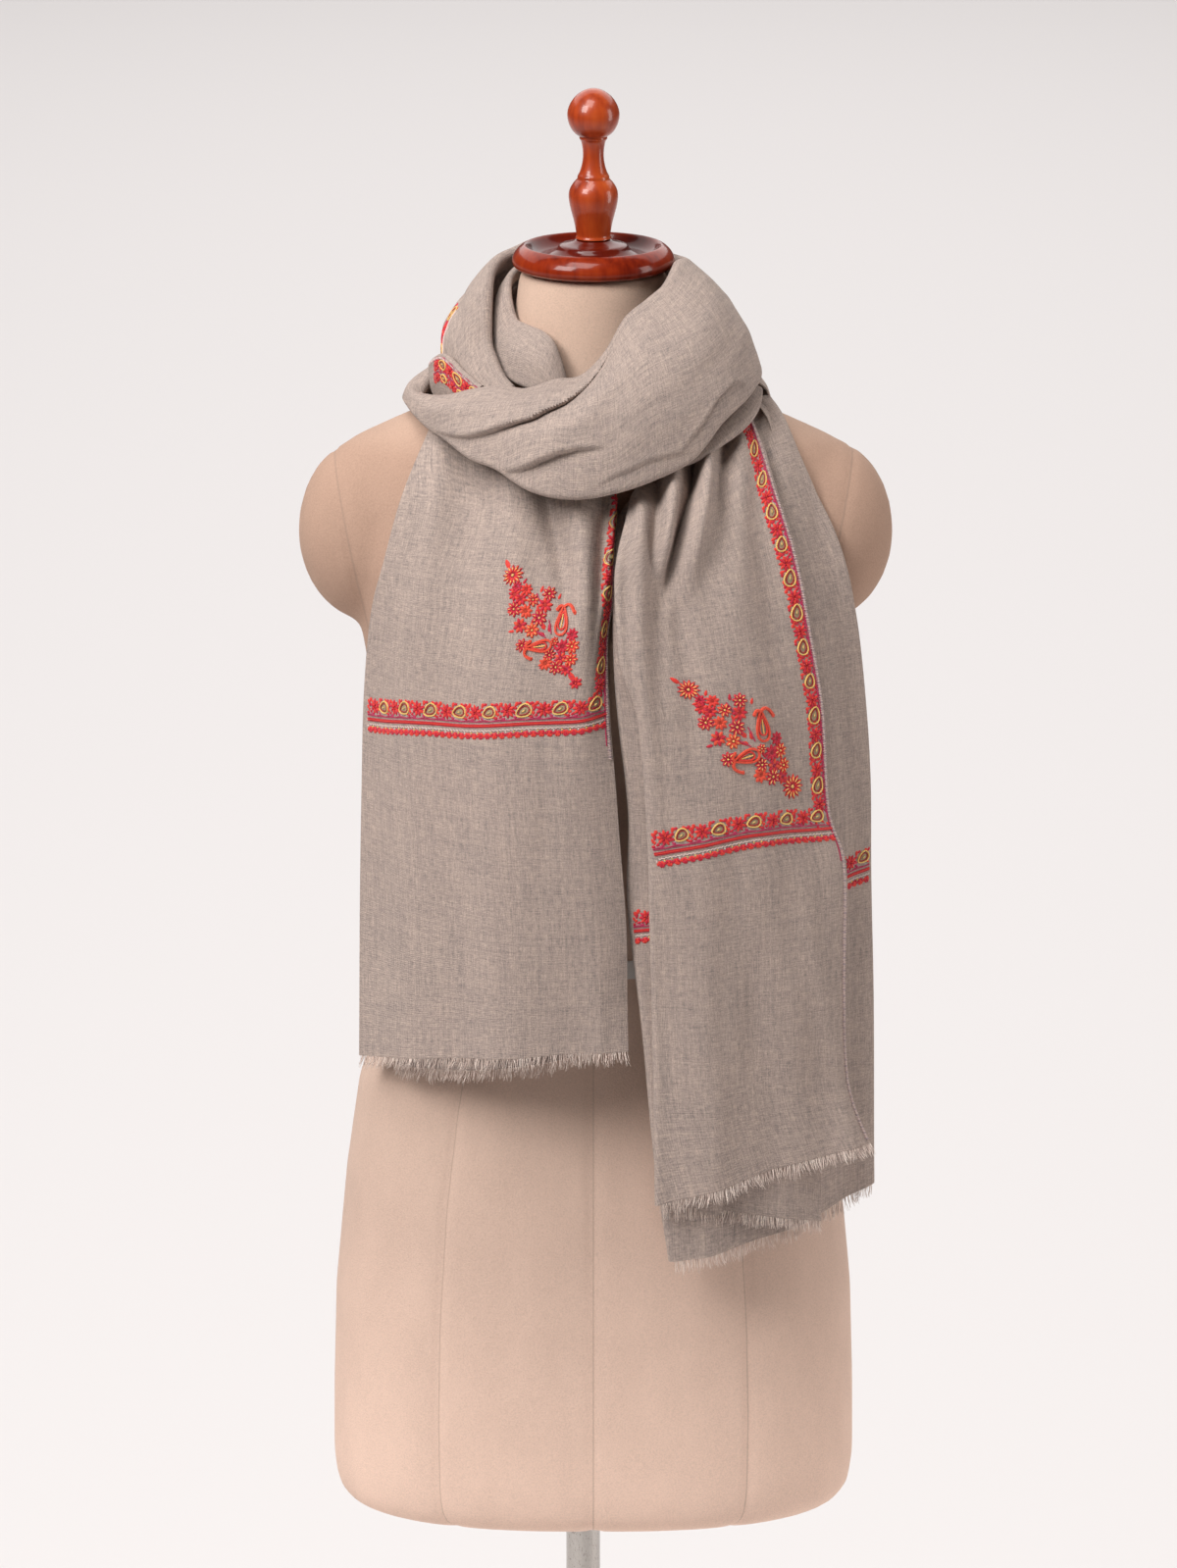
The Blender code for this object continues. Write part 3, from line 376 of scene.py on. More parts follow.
def soft_noise(u, v, seed):
    """Smooth noise from -1 to 1 whose lumps are one unit across."""
    grid = np.random.RandomState(seed).uniform(-1, 1, (64, 64))
    iu = np.floor(u).astype(int)
    iv = np.floor(v).astype(int)
    su, sv = (f * f * f * (f * (6 * f - 15) + 10) for f in (u - iu, v - iv))
    low, high = (grid[iu % 64, row % 64] * (1 - su) + grid[(iu + 1) % 64, row % 64] * su
                 for row in (iv, iv + 1))
    return low * (1 - sv) + high * sv


def unit(vectors):
    """The same vectors, each of length one."""
    return vectors / np.maximum(np.linalg.norm(vectors, axis=-1, keepdims=True), 1e-12)


def grid_normals(points):
    """Normals of a grid of points whose rows run left to right and top to bottom."""
    down = np.gradient(points, axis=0)
    across = np.gradient(points, axis=1)
    return unit(np.cross(down, across))


def steps_along(points, axis):
    """Length of each step between neighbours in a grid or a line of points."""
    return np.linalg.norm(np.diff(points, axis=axis), axis=-1)


def add_object(name, verts, faces, material, slot):
    """A smooth-shaded mesh that rides on the one body and takes a finish."""
    mesh = bpy.data.meshes.new(name)
    mesh.from_pydata(np.asarray(verts).tolist(), [], faces)
    mesh.materials.append(material)
    mesh.shade_smooth()
    piece = bpy.data.objects.new(name, mesh)
    bpy.context.scene.collection.objects.link(piece)
    return declare(piece, slot)


def declare(piece, slot, *nodes):
    """The piece rides on the one body and stands for CAD nodes, which are hidden; its slot is not
    used.
    """
    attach(piece, "root")
    if nodes:
        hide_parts(*nodes)
    return piece


def apply_modifiers(piece):
    """Replace the piece's mesh by what its modifiers make of it."""
    bpy.ops.object.select_all(action="DESELECT")
    piece.select_set(True)
    bpy.context.view_layer.objects.active = piece
    for modifier in list(piece.modifiers):
        bpy.ops.object.modifier_apply(modifier=modifier.name)


def shade_with_edges(piece, angle):
    """Smooth shading, with a crisp edge wherever the surface turns by more than an angle."""
    piece.data.shade_smooth()
    piece.data.set_sharp_from_angle(angle=angle)


def cloth_piece(name, points, uv):
    """A wall of cloth through a grid of points, with its weave's place in a UV map."""
    rows, columns = points.shape[:2]
    index = np.arange(rows * columns).reshape(rows, columns)
    faces = np.stack([index[:-1, :-1], index[1:, :-1], index[1:, 1:], index[:-1, 1:]], -1)
    faces = faces.reshape(-1, 4)
    piece = add_object(name, points.reshape(-1, 3), faces.tolist(),
                       bpy.data.materials["shawl_wool"], "shawl")
    layer = piece.data.uv_layers.new(name="weave")
    flat = uv.reshape(-1, 2)[faces.reshape(-1)]
    layer.data.foreach_set("uv", flat.reshape(-1).astype(np.float32))
    wall = piece.modifiers.new("wall", "SOLIDIFY")
    wall.thickness = CLOTH_WALL
    wall.offset = 0.0
    apply_modifiers(piece)
    shade_with_edges(piece, SHARP)
    return piece


# --- Materials ---------------------------------------------------------------------------------

class Finish:
    """A material in the making: its shader, and short names for the nodes of its pattern."""

    def __init__(self, name, roughness, **values):
        self.material = bpy.data.materials.new(name)
        self.material.use_nodes = True
        self.tree = self.material.node_tree
        self.inputs = self.tree.nodes["Principled BSDF"].inputs
        self.fill(self.inputs["Roughness"], roughness)
        for socket, value in values.items():
            self.fill(self.inputs[socket.replace("_", " ")], value)

    def fill(self, socket, value):
        """Put a number, a vector, a (red, green, blue) colour or another node's socket in."""
        if isinstance(value, bpy.types.NodeSocket):
            self.tree.links.new(value, socket)
        else:
            socket.default_value = (*value, 1.0) if socket.type == "RGBA" else value

    def node(self, kind, inputs=None, **settings):
        """A node with its settings and what goes into it."""
        node = self.tree.nodes.new("ShaderNode" + kind)
        for key, value in settings.items():
            setattr(node, key, value)
        for key, value in (inputs or {}).items():
            self.fill(node.inputs[key], value)
        return node

    def place(self, output, stretch):
        """Texture coordinates, stretched along each axis."""
        coordinates = self.node("TexCoord").outputs[output]
        return self.node("Mapping", {"Vector": coordinates, "Scale": stretch}).outputs["Vector"]

    def noise(self, output, stretch, roughness, scale=1.0, detail=2.0):
        """Noise whose lumps are as narrow along each axis as the stretch is large."""
        return self.node("TexNoise", {"Vector": self.place(output, stretch), "Scale": scale,
                                      "Detail": detail, "Roughness": roughness}).outputs["Fac"]

    def math(self, operation, first, second=0.0):
        """What an operation makes of two numbers, or of one where it takes only one."""
        return self.node("Math", {0: first, 1: second}, operation=operation).outputs[0]

    def add(self, first, *rest):
        """All of them added up, from left to right."""
        for value in rest:
            first = self.math("ADD", first, value)
        return first

    def times(self, first, second):
        """Product of two numbers."""
        return self.math("MULTIPLY", first, second)

    def gap(self, first, second):
        """How far two numbers are apart."""
        return self.math("ABSOLUTE", self.math("SUBTRACT", first, second))

    def span(self, value, low, high, to_low=0.0, to_high=1.0):
        """The value carried over from one range to another and held inside it."""
        return self.node("MapRange", {"Value": value, "From Min": low, "From Max": high,
                                      "To Min": to_low, "To Max": to_high}).outputs[0]

    def ramp(self, value, *stops):
        """Colours along a ramp of (place, (red, green, blue)) stops."""
        node = self.node("ValToRGB", {"Fac": value})
        elements = node.color_ramp.elements
        while len(elements) < len(stops):
            elements.new(0.5)
        for element, (place, colour) in zip(elements, stops):
            element.position = place
            element.color = (*colour, 1.0)
        return node.outputs["Color"]

    def mix(self, share, first, second, blend="MIX"):
        """Mix of two colours."""
        node = self.node("Mix", {0: share}, data_type="RGBA", blend_type=blend)
        self.fill(node.inputs[6], first)
        self.fill(node.inputs[7], second)
        return node.outputs[2]

    def done(self, colour, bumps=None, strength=0.0, distance=0.0):
        """Give the shader its colour, and its bumps if it has any; the finished material."""
        self.fill(self.inputs["Base Color"], colour)
        if bumps is not None:
            bump = self.node("Bump", {"Height": bumps, "Strength": strength,
                                      "Distance": distance})
            self.fill(self.inputs["Normal"], bump.outputs["Normal"])
        return self.material


def times_colour(factor, colour):
    """A colour made darker or lighter by one factor, or by one for each channel."""
    factors = factor if isinstance(factor, tuple) else (factor,) * 3
    return tuple(min(1.0, f * c) for f, c in zip(factors, colour))


def wool_material():
    """Melange wool: pale and grey yarns cross in a plain weave with slubs both ways."""
    settings = bpy.context.scene.shawl
    light, dark = tuple(settings.wool_light), tuple(settings.wool_dark)
    wool = Finish("shawl_wool", 0.94, Sheen_Weight=0.10, Sheen_Roughness=0.5,
                  Sheen_Tint=(1.0, 0.92, 0.86), Specular_IOR_Level=0.10)
    across, along, grain, streak, band, cloud = (
        wool.noise("UV", (*stretch, 1), rough) for *stretch, rough in (
            (150, 1250, 0.7), (1250, 120, 0.7), (1100, 1100, 0.7), (420, 14, 0.6), (14, 420, 0.6),
            (40, 30, 0.5)))
    both = wool.add(across, along, grain)
    slow = wool.add(wool.times(streak, 0.11), wool.times(band, 0.09), wool.times(cloud, 0.05))
    mixed = wool.add(wool.times(both, 0.25), slow)
    middle = tuple(0.5 * (a + b) for a, b in zip(light, dark))
    base = wool.ramp(mixed, (0.40, dark), (0.50, middle), (0.60, light))
    slub = wool.span(wool.noise("UV", (40, 1700, 1), 0.5, detail=1.0), 0.74, 0.80)
    base = wool.mix(wool.times(slub, 0.5), base, (0.62, 0.47, 0.36))
    pitch = 0.5 / settings.yarn / math.pi
    plain = wool.place("UV", (1, 1, 1))
    weft, warp = (wool.node("TexWave", {"Vector": plain, "Scale": pitch, "Distortion": 1.2,
                                        "Detail": 1.0, "Detail Scale": 0.3},
                            bands_direction=way).outputs["Fac"] for way in ("X", "Y"))
    height = wool.add(wool.times(weft, warp), wool.times(both, 0.8))
    return wool.done(base, height, 0.5, 0.0004)


def thread_material():
    """Embroidery thread: its colour comes with each stitch, and its strands are fine ridges."""
    thread = Finish("embroidery_thread", 0.62, Sheen_Weight=0.25, Sheen_Roughness=0.4,
                    Specular_IOR_Level=0.3)
    colour = thread.node("VertexColor", layer_name="thread").outputs["Color"]
    fleck = thread.noise("Object", (1500, 1500, 1500), 0.6)
    shade = thread.ramp(fleck, (0.30, (0.72, 0.68, 0.68)), (0.68, (1.12, 1.12, 1.12)))
    return thread.done(thread.mix(1.0, colour, shade, "MULTIPLY"), fleck, 0.35, 0.0003)


def fringe_material():
    """Loose wool ends, paler than the cloth, from cream to grey."""
    ends = Finish("fringe_wool", 0.9, Sheen_Weight=0.3, Sheen_Roughness=0.5,
                  Specular_IOR_Level=0.15)
    tone = ends.noise("Object", (420, 420, 60), 0.6)
    return ends.done(ends.ramp(tone, (0.35, (0.56, 0.44, 0.39)), (0.50, (0.78, 0.64, 0.57)),
                               (0.64, (0.92, 0.80, 0.72))))


def place_parts(finish):
    """The object's x from the body's axis, y and z, each as a socket."""
    place = finish.node("TexCoord").outputs["Object"]
    parts = finish.node("SeparateXYZ", {"Vector": place}).outputs
    return finish.math("SUBTRACT", parts["X"], BODY_X), parts["Y"], parts["Z"]


SEAM_ANGLE = 0.0030     # half width of an upright seam's dark line, in radians round the body
SEAM_LINE = 0.0007      # half width of the arm seam's
SEAM_DARKNESS = 0.32


def seam_lines(suede, x, y, z):
    """A mask of the stitched seams: upright ones below the arms and one round each arm."""
    angle = suede.math("ARCTAN2", suede.math("DIVIDE", y, BODY_DEEP),
                       suede.math("DIVIDE", x, BODY_WIDE))
    turn = suede.gap(suede.math("ABSOLUTE", angle), math.pi / 2)
    mask = None
    for degrees in (0.0, 35.5, 90.0):
        near = suede.math("LESS_THAN", suede.gap(turn, math.radians(degrees)), SEAM_ANGLE)
        mask = near if mask is None else suede.math("MAXIMUM", mask, near)
    mask = suede.times(mask, suede.math("LESS_THAN", z, SEAMS_TOP))
    arm = suede.add(suede.times(z, ARM_SLOPE), ARM_X - ARM_SLOPE * ARM_HEIGHT)
    gap = suede.gap(suede.math("ABSOLUTE", x), arm)
    near = suede.times(suede.math("LESS_THAN", gap, SEAM_LINE),
                       suede.math("GREATER_THAN", z, ARM_SEAM_FOOT))
    return suede.times(suede.math("MAXIMUM", mask, near), SEAM_DARKNESS)


def suede_material():
    """Short-napped suede cloth: mottled where the nap lies both ways, with rubbed places, and
    painted light and shade that change with height.
    """
    nap = tuple(bpy.context.scene.form.nap)
    suede = Finish("suede_cover", 0.92, Sheen_Weight=0.08, Sheen_Roughness=0.4,
                   Sheen_Tint=(1.0, 0.90, 0.80), Specular_IOR_Level=0.15)
    grain = suede.noise("Object", (1, 1, 1), 0.7, 900.0, 3.0)
    mottle = suede.noise("Object", (1, 1, 0.55), 0.62, 26.0, 4.0)
    patch = suede.noise("Object", (1, 1, 0.35), 0.5, 7.0)
    mixed = suede.add(suede.times(grain, 0.70), suede.times(mottle, 0.30))
    base = suede.ramp(mixed, (0.38, times_colour(0.90, nap)), (0.5, nap),
                      (0.62, times_colour(1.07, nap)))
    worn = suede.times(suede.span(patch, 0.62, 0.78), 0.10)
    base = suede.mix(worn, base, times_colour(0.80, nap))
    x, y, z = place_parts(suede)
    # Painted light and shade: lighter towards the bottom of the body, and darker and redder over
    # the chest and shoulders, as the lamps fall on it.
    shade = suede.ramp(suede.span(z, 0.78, 1.62), (0.0, (1.48, 1.47, 1.50)),
                       (0.25, (1.04, 1.03, 1.05)), (0.52, (0.95, 0.95, 0.96)),
                       (0.70, (0.74, 0.66, 0.62)), (0.88, (0.74, 0.66, 0.62)),
                       (0.94, (1.02, 1.0, 0.98)))
    base = suede.mix(1.0, base, shade, "MULTIPLY")
    base = suede.mix(seam_lines(suede, x, y, z), base, times_colour(0.45, nap))
    return suede.done(base, mixed, 0.5, 0.0009)


def wood_material(name, wood, rough, coat, shine, dish=None):
    """Lacquered wood with fine upright grain under a clear coat, and painted shade that darkens it
    inside a dish.
    """
    turned = Finish(name, rough, Coat_Weight=coat, Coat_Roughness=0.10,
                    Specular_IOR_Level=shine, Coat_IOR=1.40)
    grain = turned.noise("Object", (260, 260, 14), 0.5)
    tone = turned.noise("Object", (30, 30, 12), 0.5)
    mixed = turned.add(turned.times(grain, 0.35), turned.times(tone, 0.65))
    base = turned.ramp(mixed, (0.34, times_colour((0.50, 0.36, 0.5), wood)), (0.5, wood),
                       (0.66, times_colour((1.3, 1.7, 1.5), wood)))
    # Painted shade: the wood is darkened inside the dish, where the hollow lies in shade.
    if dish:
        x, y, _ = place_parts(turned)
        radius = turned.math("SQRT", turned.add(turned.times(x, x), turned.times(y, y)))
        inside = turned.span(radius, dish, dish - 0.004, 0.0, 0.75)
        base = turned.mix(inside, base, times_colour((0.28, 0.16, 0.5), wood))
    return turned.done(base)


def chrome_material():
    """Polished tube with faint smears and specks."""
    chrome = Finish("chrome_tube", 0.14, Metallic=1.0)
    speck = chrome.noise("Object", (900, 900, 500), 0.7, detail=3.0)
    smear = chrome.noise("Object", (60, 60, 18), 0.6, detail=3.0)
    chrome.fill(chrome.inputs["Roughness"], chrome.span(smear, 0.35, 0.7, 0.08, 0.24))
    return chrome.done(chrome.ramp(speck, (0.30, (0.22, 0.19, 0.17)),
                                   (0.42, (0.50, 0.47, 0.44)), (1.0, (0.58, 0.55, 0.52))))


def enamel_material():
    """Pale enamel of the foot, with a slight orange-peel surface and a few scuffs."""
    enamel = Finish("foot_enamel", 0.35, Coat_Weight=0.3, Coat_Roughness=0.15)
    peel = enamel.noise("Object", (1, 1, 1), 0.5, 320.0)
    scuff = enamel.noise("Object", (1, 1, 4), 0.7, 28.0, 5.0)
    base = enamel.ramp(scuff, (0.30, (0.52, 0.50, 0.47)), (0.42, (0.70, 0.68, 0.65)),
                       (1.0, (0.76, 0.74, 0.71)))
    return enamel.done(base, peel, 0.12, 0.0004)


def tape_material():
    """Twill tape: fine slanting ribs across a pale ribbon."""
    tape = Finish("twill_tape", 0.8, Sheen_Weight=0.15)
    ribs = tape.node("TexWave", {"Vector": tape.place("Object", (1, 1, 1)), "Scale": 480.0,
                                 "Distortion": 0.6, "Detail": 1.0},
                     bands_direction="DIAGONAL").outputs["Fac"]
    base = tape.ramp(ribs, (0.0, (0.60, 0.58, 0.55)), (1.0, (0.80, 0.78, 0.74)))
    return tape.done(base, ribs, 0.5, 0.0004)


# --- The dress form ----------------------------------------------------------------------------

def copy_of_node(node, name, material, slot):
    """A copy of a CAD node, with its loose triangles merged, that replaces the node."""
    piece = bpy.data.objects.new(name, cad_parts[node].data.copy())
    bpy.context.scene.collection.objects.link(piece)
    shape = bmesh.new()
    shape.from_mesh(piece.data)
    bmesh.ops.remove_doubles(shape, verts=shape.verts, dist=0.00002)
    shape.to_mesh(piece.data)
    shape.free()
    piece.data.materials.clear()
    piece.data.materials.append(material)
    return declare(piece, slot, node)


def vertex_rows(mesh, what):
    """The places or the normals of a mesh's vertices, as rows of x, y and z."""
    flat = np.zeros(len(mesh.vertices) * 3)
    mesh.vertices.foreach_get(what, flat)
    return flat.reshape(-1, 3)


def seam_pull(co, depth):
    """How far each point of the body's cover is drawn in by its seams."""
    x, y = co[:, 0] - BODY_X, co[:, 1]
    angle = np.arctan2(y / BODY_DEEP, x / BODY_WIDE)
    pull = np.zeros(len(co))
    below_cap = co[:, 2] < SEAMS_TOP
    for degrees in (-90.0, -54.5, -125.5, 0.0, 180.0, 90.0, 54.5, 125.5):
        gap = (angle - math.radians(degrees) + math.pi) % math.tau - math.pi
        away = np.abs(gap) * np.hypot(x, y)
        for share, reach in ((1.0, SEAM_REACH), (0.35, SEAM_SPREAD)):
            pull += share * np.where(below_cap, np.exp(-(away / reach) ** 2), 0)
    away = np.abs(np.abs(x) - ARM_X - ARM_SLOPE * (co[:, 2] - ARM_HEIGHT))
    pull += np.where(co[:, 2] > ARM_SEAM_FOOT, np.exp(-(away / SEAM_REACH) ** 2), 0)
    return depth * np.minimum(pull, 1.35)


class MakeBody(bpy.types.Operator):
    """Padded body in a suede cover drawn in by its seams"""
    bl_idname = "shawl.make_body"
    bl_label = "Padded body"

    def execute(self, context):
        body = copy_of_node("form_torso", "body_cover", suede_material(), "padding")
        remesh = body.modifiers.new("even", "REMESH")
        remesh.mode = "VOXEL"
        remesh.voxel_size = BODY_VOXEL
        smooth = body.modifiers.new("soften", "SMOOTH")
        smooth.factor = 0.5
        smooth.iterations = 14
        apply_modifiers(body)
        co = vertex_rows(body.data, "co")
        pull = seam_pull(co, context.scene.form.seam_depth)
        co -= vertex_rows(body.data, "normal") * pull[:, None]
        body.data.vertices.foreach_set("co", co.reshape(-1))
        body.data.shade_smooth()
        return {"FINISHED"}


class MakeTape(bpy.types.Operator):
    """Twill tape round the waist"""
    bl_idname = "shawl.make_tape"
    bl_label = "Waist tape"

    def execute(self, context):
        tape = copy_of_node("form_waist_tape", "waist_tape", tape_material(), "tape")
        shade_with_edges(tape, SHARP)
        return {"FINISHED"}


def turned_piece(name, rings, segments, centre, material, slot, node, levels=0):
    """A lathe-turned piece: a disc that is extruded and scaled ring by ring, top to bottom."""
    x, y, z = centre
    (radius, height), *rest = rings
    bpy.ops.object.select_all(action="DESELECT")
    bpy.ops.mesh.primitive_circle_add(vertices=segments, radius=radius, fill_type="NGON",
                                      location=(x, y, z + height))
    piece = bpy.context.active_object
    piece.name = piece.data.name = name
    bpy.ops.object.mode_set(mode="EDIT")
    for new_radius, new_height in rest:
        bpy.ops.mesh.extrude_region_move(
            TRANSFORM_OT_translate={"value": (0, 0, new_height - height)})
        bpy.ops.transform.resize(value=(new_radius / radius, new_radius / radius, 1),
                                 center_override=(x, y, z + new_height))
        radius, height = new_radius, new_height
    bpy.ops.mesh.select_all(action="SELECT")
    bpy.ops.mesh.normals_make_consistent(inside=False)
    bpy.ops.object.mode_set(mode="OBJECT")
    bpy.ops.object.transform_apply(location=True, rotation=True, scale=True)
    piece.data.materials.append(material)
    if levels:
        smoother = piece.modifiers.new("smooth", "SUBSURF")
        smoother.levels = smoother.render_levels = levels
        apply_modifiers(piece)
    shade_with_edges(piece, TURNED_SHARP)
    return declare(piece, slot, node)


# Rings of radius and height, from the top down.  A ring given twice keeps its edge crisp.
NECK_CAP_RINGS = [
    (0.0060, 0.0201), (0.0115, 0.0201), (0.0122, 0.0198), (0.0130, 0.0188), (0.0165, 0.0177),
    (0.0205, 0.0171), (0.0222, 0.0167), (0.0230, 0.0156), (0.0238, 0.0138), (0.0260, 0.0122),
    (0.0284, 0.0110), (0.0310, 0.0095), (0.0345, 0.0090), (0.0380, 0.0100), (0.0412, 0.0126),
    (0.0434, 0.0154), (0.0446, 0.0165), (0.0456, 0.0167), (0.0468, 0.0161), (0.0490, 0.0147),
    (0.0512, 0.0125), (0.0528, 0.0100), (0.0536, 0.0078), (0.0538, 0.0057), (0.0532, 0.0035),
    (0.0516, 0.0016), (0.0490, 0.0006), (0.0460, 0.0003), (0.0100, 0.0003),
]
FINIAL_RINGS = [
    (0.0020, 0.1203), (0.0040, 0.1199), (0.0078, 0.1184), (0.0122, 0.1151), (0.0155, 0.1104),
    (0.0171, 0.1058), (0.0174, 0.1026), (0.0168, 0.0982), (0.0148, 0.0936), (0.0120, 0.0904),
    (0.0098, 0.0890), (0.0089, 0.0886), (0.0093, 0.0880), (0.0093, 0.0872), (0.0088, 0.0866),
    (0.0081, 0.0856), (0.0074, 0.0830), (0.0068, 0.0780), (0.0069, 0.0735), (0.0077, 0.0690),
    (0.0088, 0.0655), (0.0096, 0.0637), (0.0102, 0.0630), (0.0105, 0.0622), (0.0107, 0.0612),
    (0.0105, 0.0606), (0.0118, 0.0594), (0.0138, 0.0570), (0.0156, 0.0540), (0.0165, 0.0505),
    (0.0163, 0.0460), (0.0152, 0.0408), (0.0140, 0.0366), (0.0127, 0.0316), (0.0117, 0.0264),
    (0.0112, 0.0236), (0.0112, 0.0224), (0.0118, 0.0218), (0.0119, 0.0208), (0.0117, 0.0206),
    (0.0040, 0.0206),
]
FOOT_RINGS = [
    (0.0125, 0.0300), (0.0190, 0.0300), (0.0200, 0.0297), (0.0210, 0.0285), (0.0228, 0.0262),
    (0.0240, 0.0220), (0.0250, 0.0180), (0.0268, 0.0158), (0.0320, 0.0149), (0.0700, 0.0136),
    (0.1200, 0.0121), (0.1700, 0.0105), (0.1900, 0.0098), (0.2020, 0.0090), (0.2075, 0.0074),
    (0.2096, 0.0050), (0.2098, 0.0020), (0.2092, 0.0003), (0.2080, 0.0000), (0.1000, 0.0000),
]


class MakeWood(bpy.types.Operator):
    """Turned neck cap and finial"""
    bl_idname = "shawl.make_wood"
    bl_label = "Turned wood"

    def execute(self, context):
        centre = (BODY_X, 0, NECK_TOP)
        wood = tuple(context.scene.form.wood)
        cap = wood_material("lacquered_cap", times_colour((0.62, 0.44, 0.5), wood), 0.28, 0.55,
                            0.10, dish=DISH_RADIUS)
        knob = wood_material("lacquered_knob", wood, 0.34, 0.6, 0.30)
        turned_piece("neck_cap", NECK_CAP_RINGS, 72, centre, cap, "wood", "form_neck_cap", 1)
        turned_piece("finial", FINIAL_RINGS, 48, centre, knob, "wood", "form_finial", 1)
        return {"FINISHED"}


class MakeStand(bpy.types.Operator):
    """Chrome pole, its sleeve and the round foot"""
    bl_idname = "shawl.make_stand"
    bl_label = "Stand"

    def execute(self, context):
        chrome = chrome_material()
        axis = (0, 0, 0)
        top = BODY_BOTTOM - RUNNING_GAP
        foot = POLE_FOOT + RUNNING_GAP
        r = POLE_RADIUS
        pole = [(r - 0.002, top), (r - 0.0004, top), (r, top - 0.0004), (r, top - 0.002),
                (r, foot + 0.4), (r, foot + 0.002), (r, foot + 0.0004), (r - 0.0004, foot),
                (r - 0.002, foot)]
        turned_piece("pole", pole, 64, axis, chrome, "chrome", "form_pole")
        s, bore, end = SLEEVE_RADIUS, r + RUNNING_GAP, top - SLEEVE_LENGTH
        sleeve = [(bore + 0.0006, top), (s - 0.0006, top), (s, top - 0.0006), (s, top - 0.006),
                  (s, end + 0.0016), (s - 0.0004, end + 0.0006), (s - 0.0012, end),
                  (bore + 0.0002, end)]
        turned_piece("pole_sleeve", sleeve, 64, axis, chrome, "chrome", "form_sleeve")
        turned_piece("round_foot", FOOT_RINGS, 96, axis, enamel_material(), "foot", "form_base")
        return {"FINISHED"}


# --- The winding -------------------------------------------------------------------------------

def crease_stand(turn, share, length, creases):
    """How far the cloth stands out, and slides down over itself, at its creases."""
    stand = np.zeros(share.shape)
    slide = np.zeros(share.shape)
    for kind, run in creases:
        path, middles, heights, widths = np.array(run, float).T
        middle = np.interp(turn, path, middles)
        height = np.interp(turn, path, heights, left=0, right=0) / 1000
        width = np.interp(turn, path, widths) / 1000
        slope = np.gradient(middle, axis=0) * length / np.maximum(
            np.abs(np.gradient(turn, axis=0)) * math.radians(1) * LOOP_RADIUS, 1e-9)
        away = (share - middle) * length / np.sqrt(1 + slope ** 2)
        if kind == "ridge":
            stand += height * np.exp(-(away / width) ** 2)
        else:
            lip = 1 / (1 + np.exp(np.clip(away / FLAP_EDGE, -60, 60)))
            above = np.exp(np.minimum(away, 0) / width) * lip
            below = np.exp(-np.maximum(away, 0) / (0.7 * width)) * (1 - lip)
            stand += height * (0.7 * above - 0.8 * below)
            slide += height * 0.9 * np.exp(np.minimum(away, 0) / (0.5 * width)) * lip
    return stand, slide


def roll_points(edge, outward, along, radius, tuck, steps=8):
    """Points that roll an edge over and run it back inside, from the edge inwards."""
    centre = edge - outward * radius
    points = []
    for step in range(1, steps + 1):
        a = math.pi * ROLL_SHARE * step / steps
        points.append(centre + (outward * math.cos(a) + along * math.sin(a)) * radius)
    last = points[-1]
    for step in range(1, 4):
        points.append(last - along * (tuck * step / 3) - outward * (TUCK_DRIFT * step))
    return points


def quarter_turned(way):
    """Directions in the upright plane, each turned a quarter to the left."""
    return np.stack([-way[:, 1], way[:, 0]], -1)


def winding_grid(sections, places, stations, roll, tuck, creases, ripple, seed):
    """Grid of points of cloth that goes round the neck, each row from rim to lip."""
    rows = along_rows(sections, places)
    turn, crown = rows[:, 0:1], rows[:, 5:6]
    rim, lip = rows[:, 1:3], rows[:, 3:5]
    way = lip - rim
    length = np.linalg.norm(way, axis=1, keepdims=True)
    along = way / length
    normal = quarter_turned(along)
    share = np.linspace(0, 1, stations)[None, :] * np.ones((len(rows), 1))
    stand, slide = crease_stand(turn * np.ones_like(share), share, length, creases)
    path = np.radians(turn) * LOOP_RADIUS
    soft = (soft_noise(path / 0.050 + 3.3, share * length / 0.016, seed)
            + 0.45 * soft_noise(path / 0.021, share * length / 0.009 + 7.1, seed + 1))
    soft *= np.sin(np.pi * np.clip(share, 0, 1)) ** 0.5
    stand = stand + ripple * soft
    fade = np.sin(np.pi * share) ** 0.3
    offset = crown * np.sin(np.pi * share) + stand * np.maximum(fade, 0.35)
    down = share * length + slide * np.minimum(fade, 1)
    body = (rim[:, None] + along[:, None] * down[..., None]
            + normal[:, None] * offset[..., None])
    start, end = (unit(along * length + sign * normal * crown * math.pi) for sign in (1, -1))
    top = roll_points(body[:, 0], quarter_turned(start), -start, roll, tuck)
    low = roll_points(body[:, -1], quarter_turned(end), end, roll, tuck)
    line = np.concatenate([np.stack(top[::-1], 1), body, np.stack(low, 1)], 1)
    angle = np.radians(turn)
    points = np.stack([BODY_X - line[..., 0] * np.sin(angle), -line[..., 0] * np.cos(angle),
                       line[..., 1]], -1)
    step = np.linalg.norm(np.diff(line, axis=1), axis=-1)
    u = np.concatenate([np.zeros((len(rows), 1)), np.cumsum(step, 1)], 1)
    u -= u[:, len(top):len(top) + 1]
    v = np.cumsum(np.abs(np.gradient(np.radians(rows[:, 0])))) * WEAVE_RADIUS
    uv = np.stack([u, v[:, None] * np.ones_like(u)], -1)
    shown = slice(len(top), len(top) + stations)
    flat = points[:, shown]
    outward = grid_normals(flat)
    away = flat * np.array([1, 1, 0]) - np.array([BODY_X, 0, 0])
    outward *= np.sign((outward * away).sum(-1).mean())
    return points, uv, ClothFace(flat, outward, u[:, shown], v)


FACES = {}              # the outer faces of the cloth round the neck, for the needlework


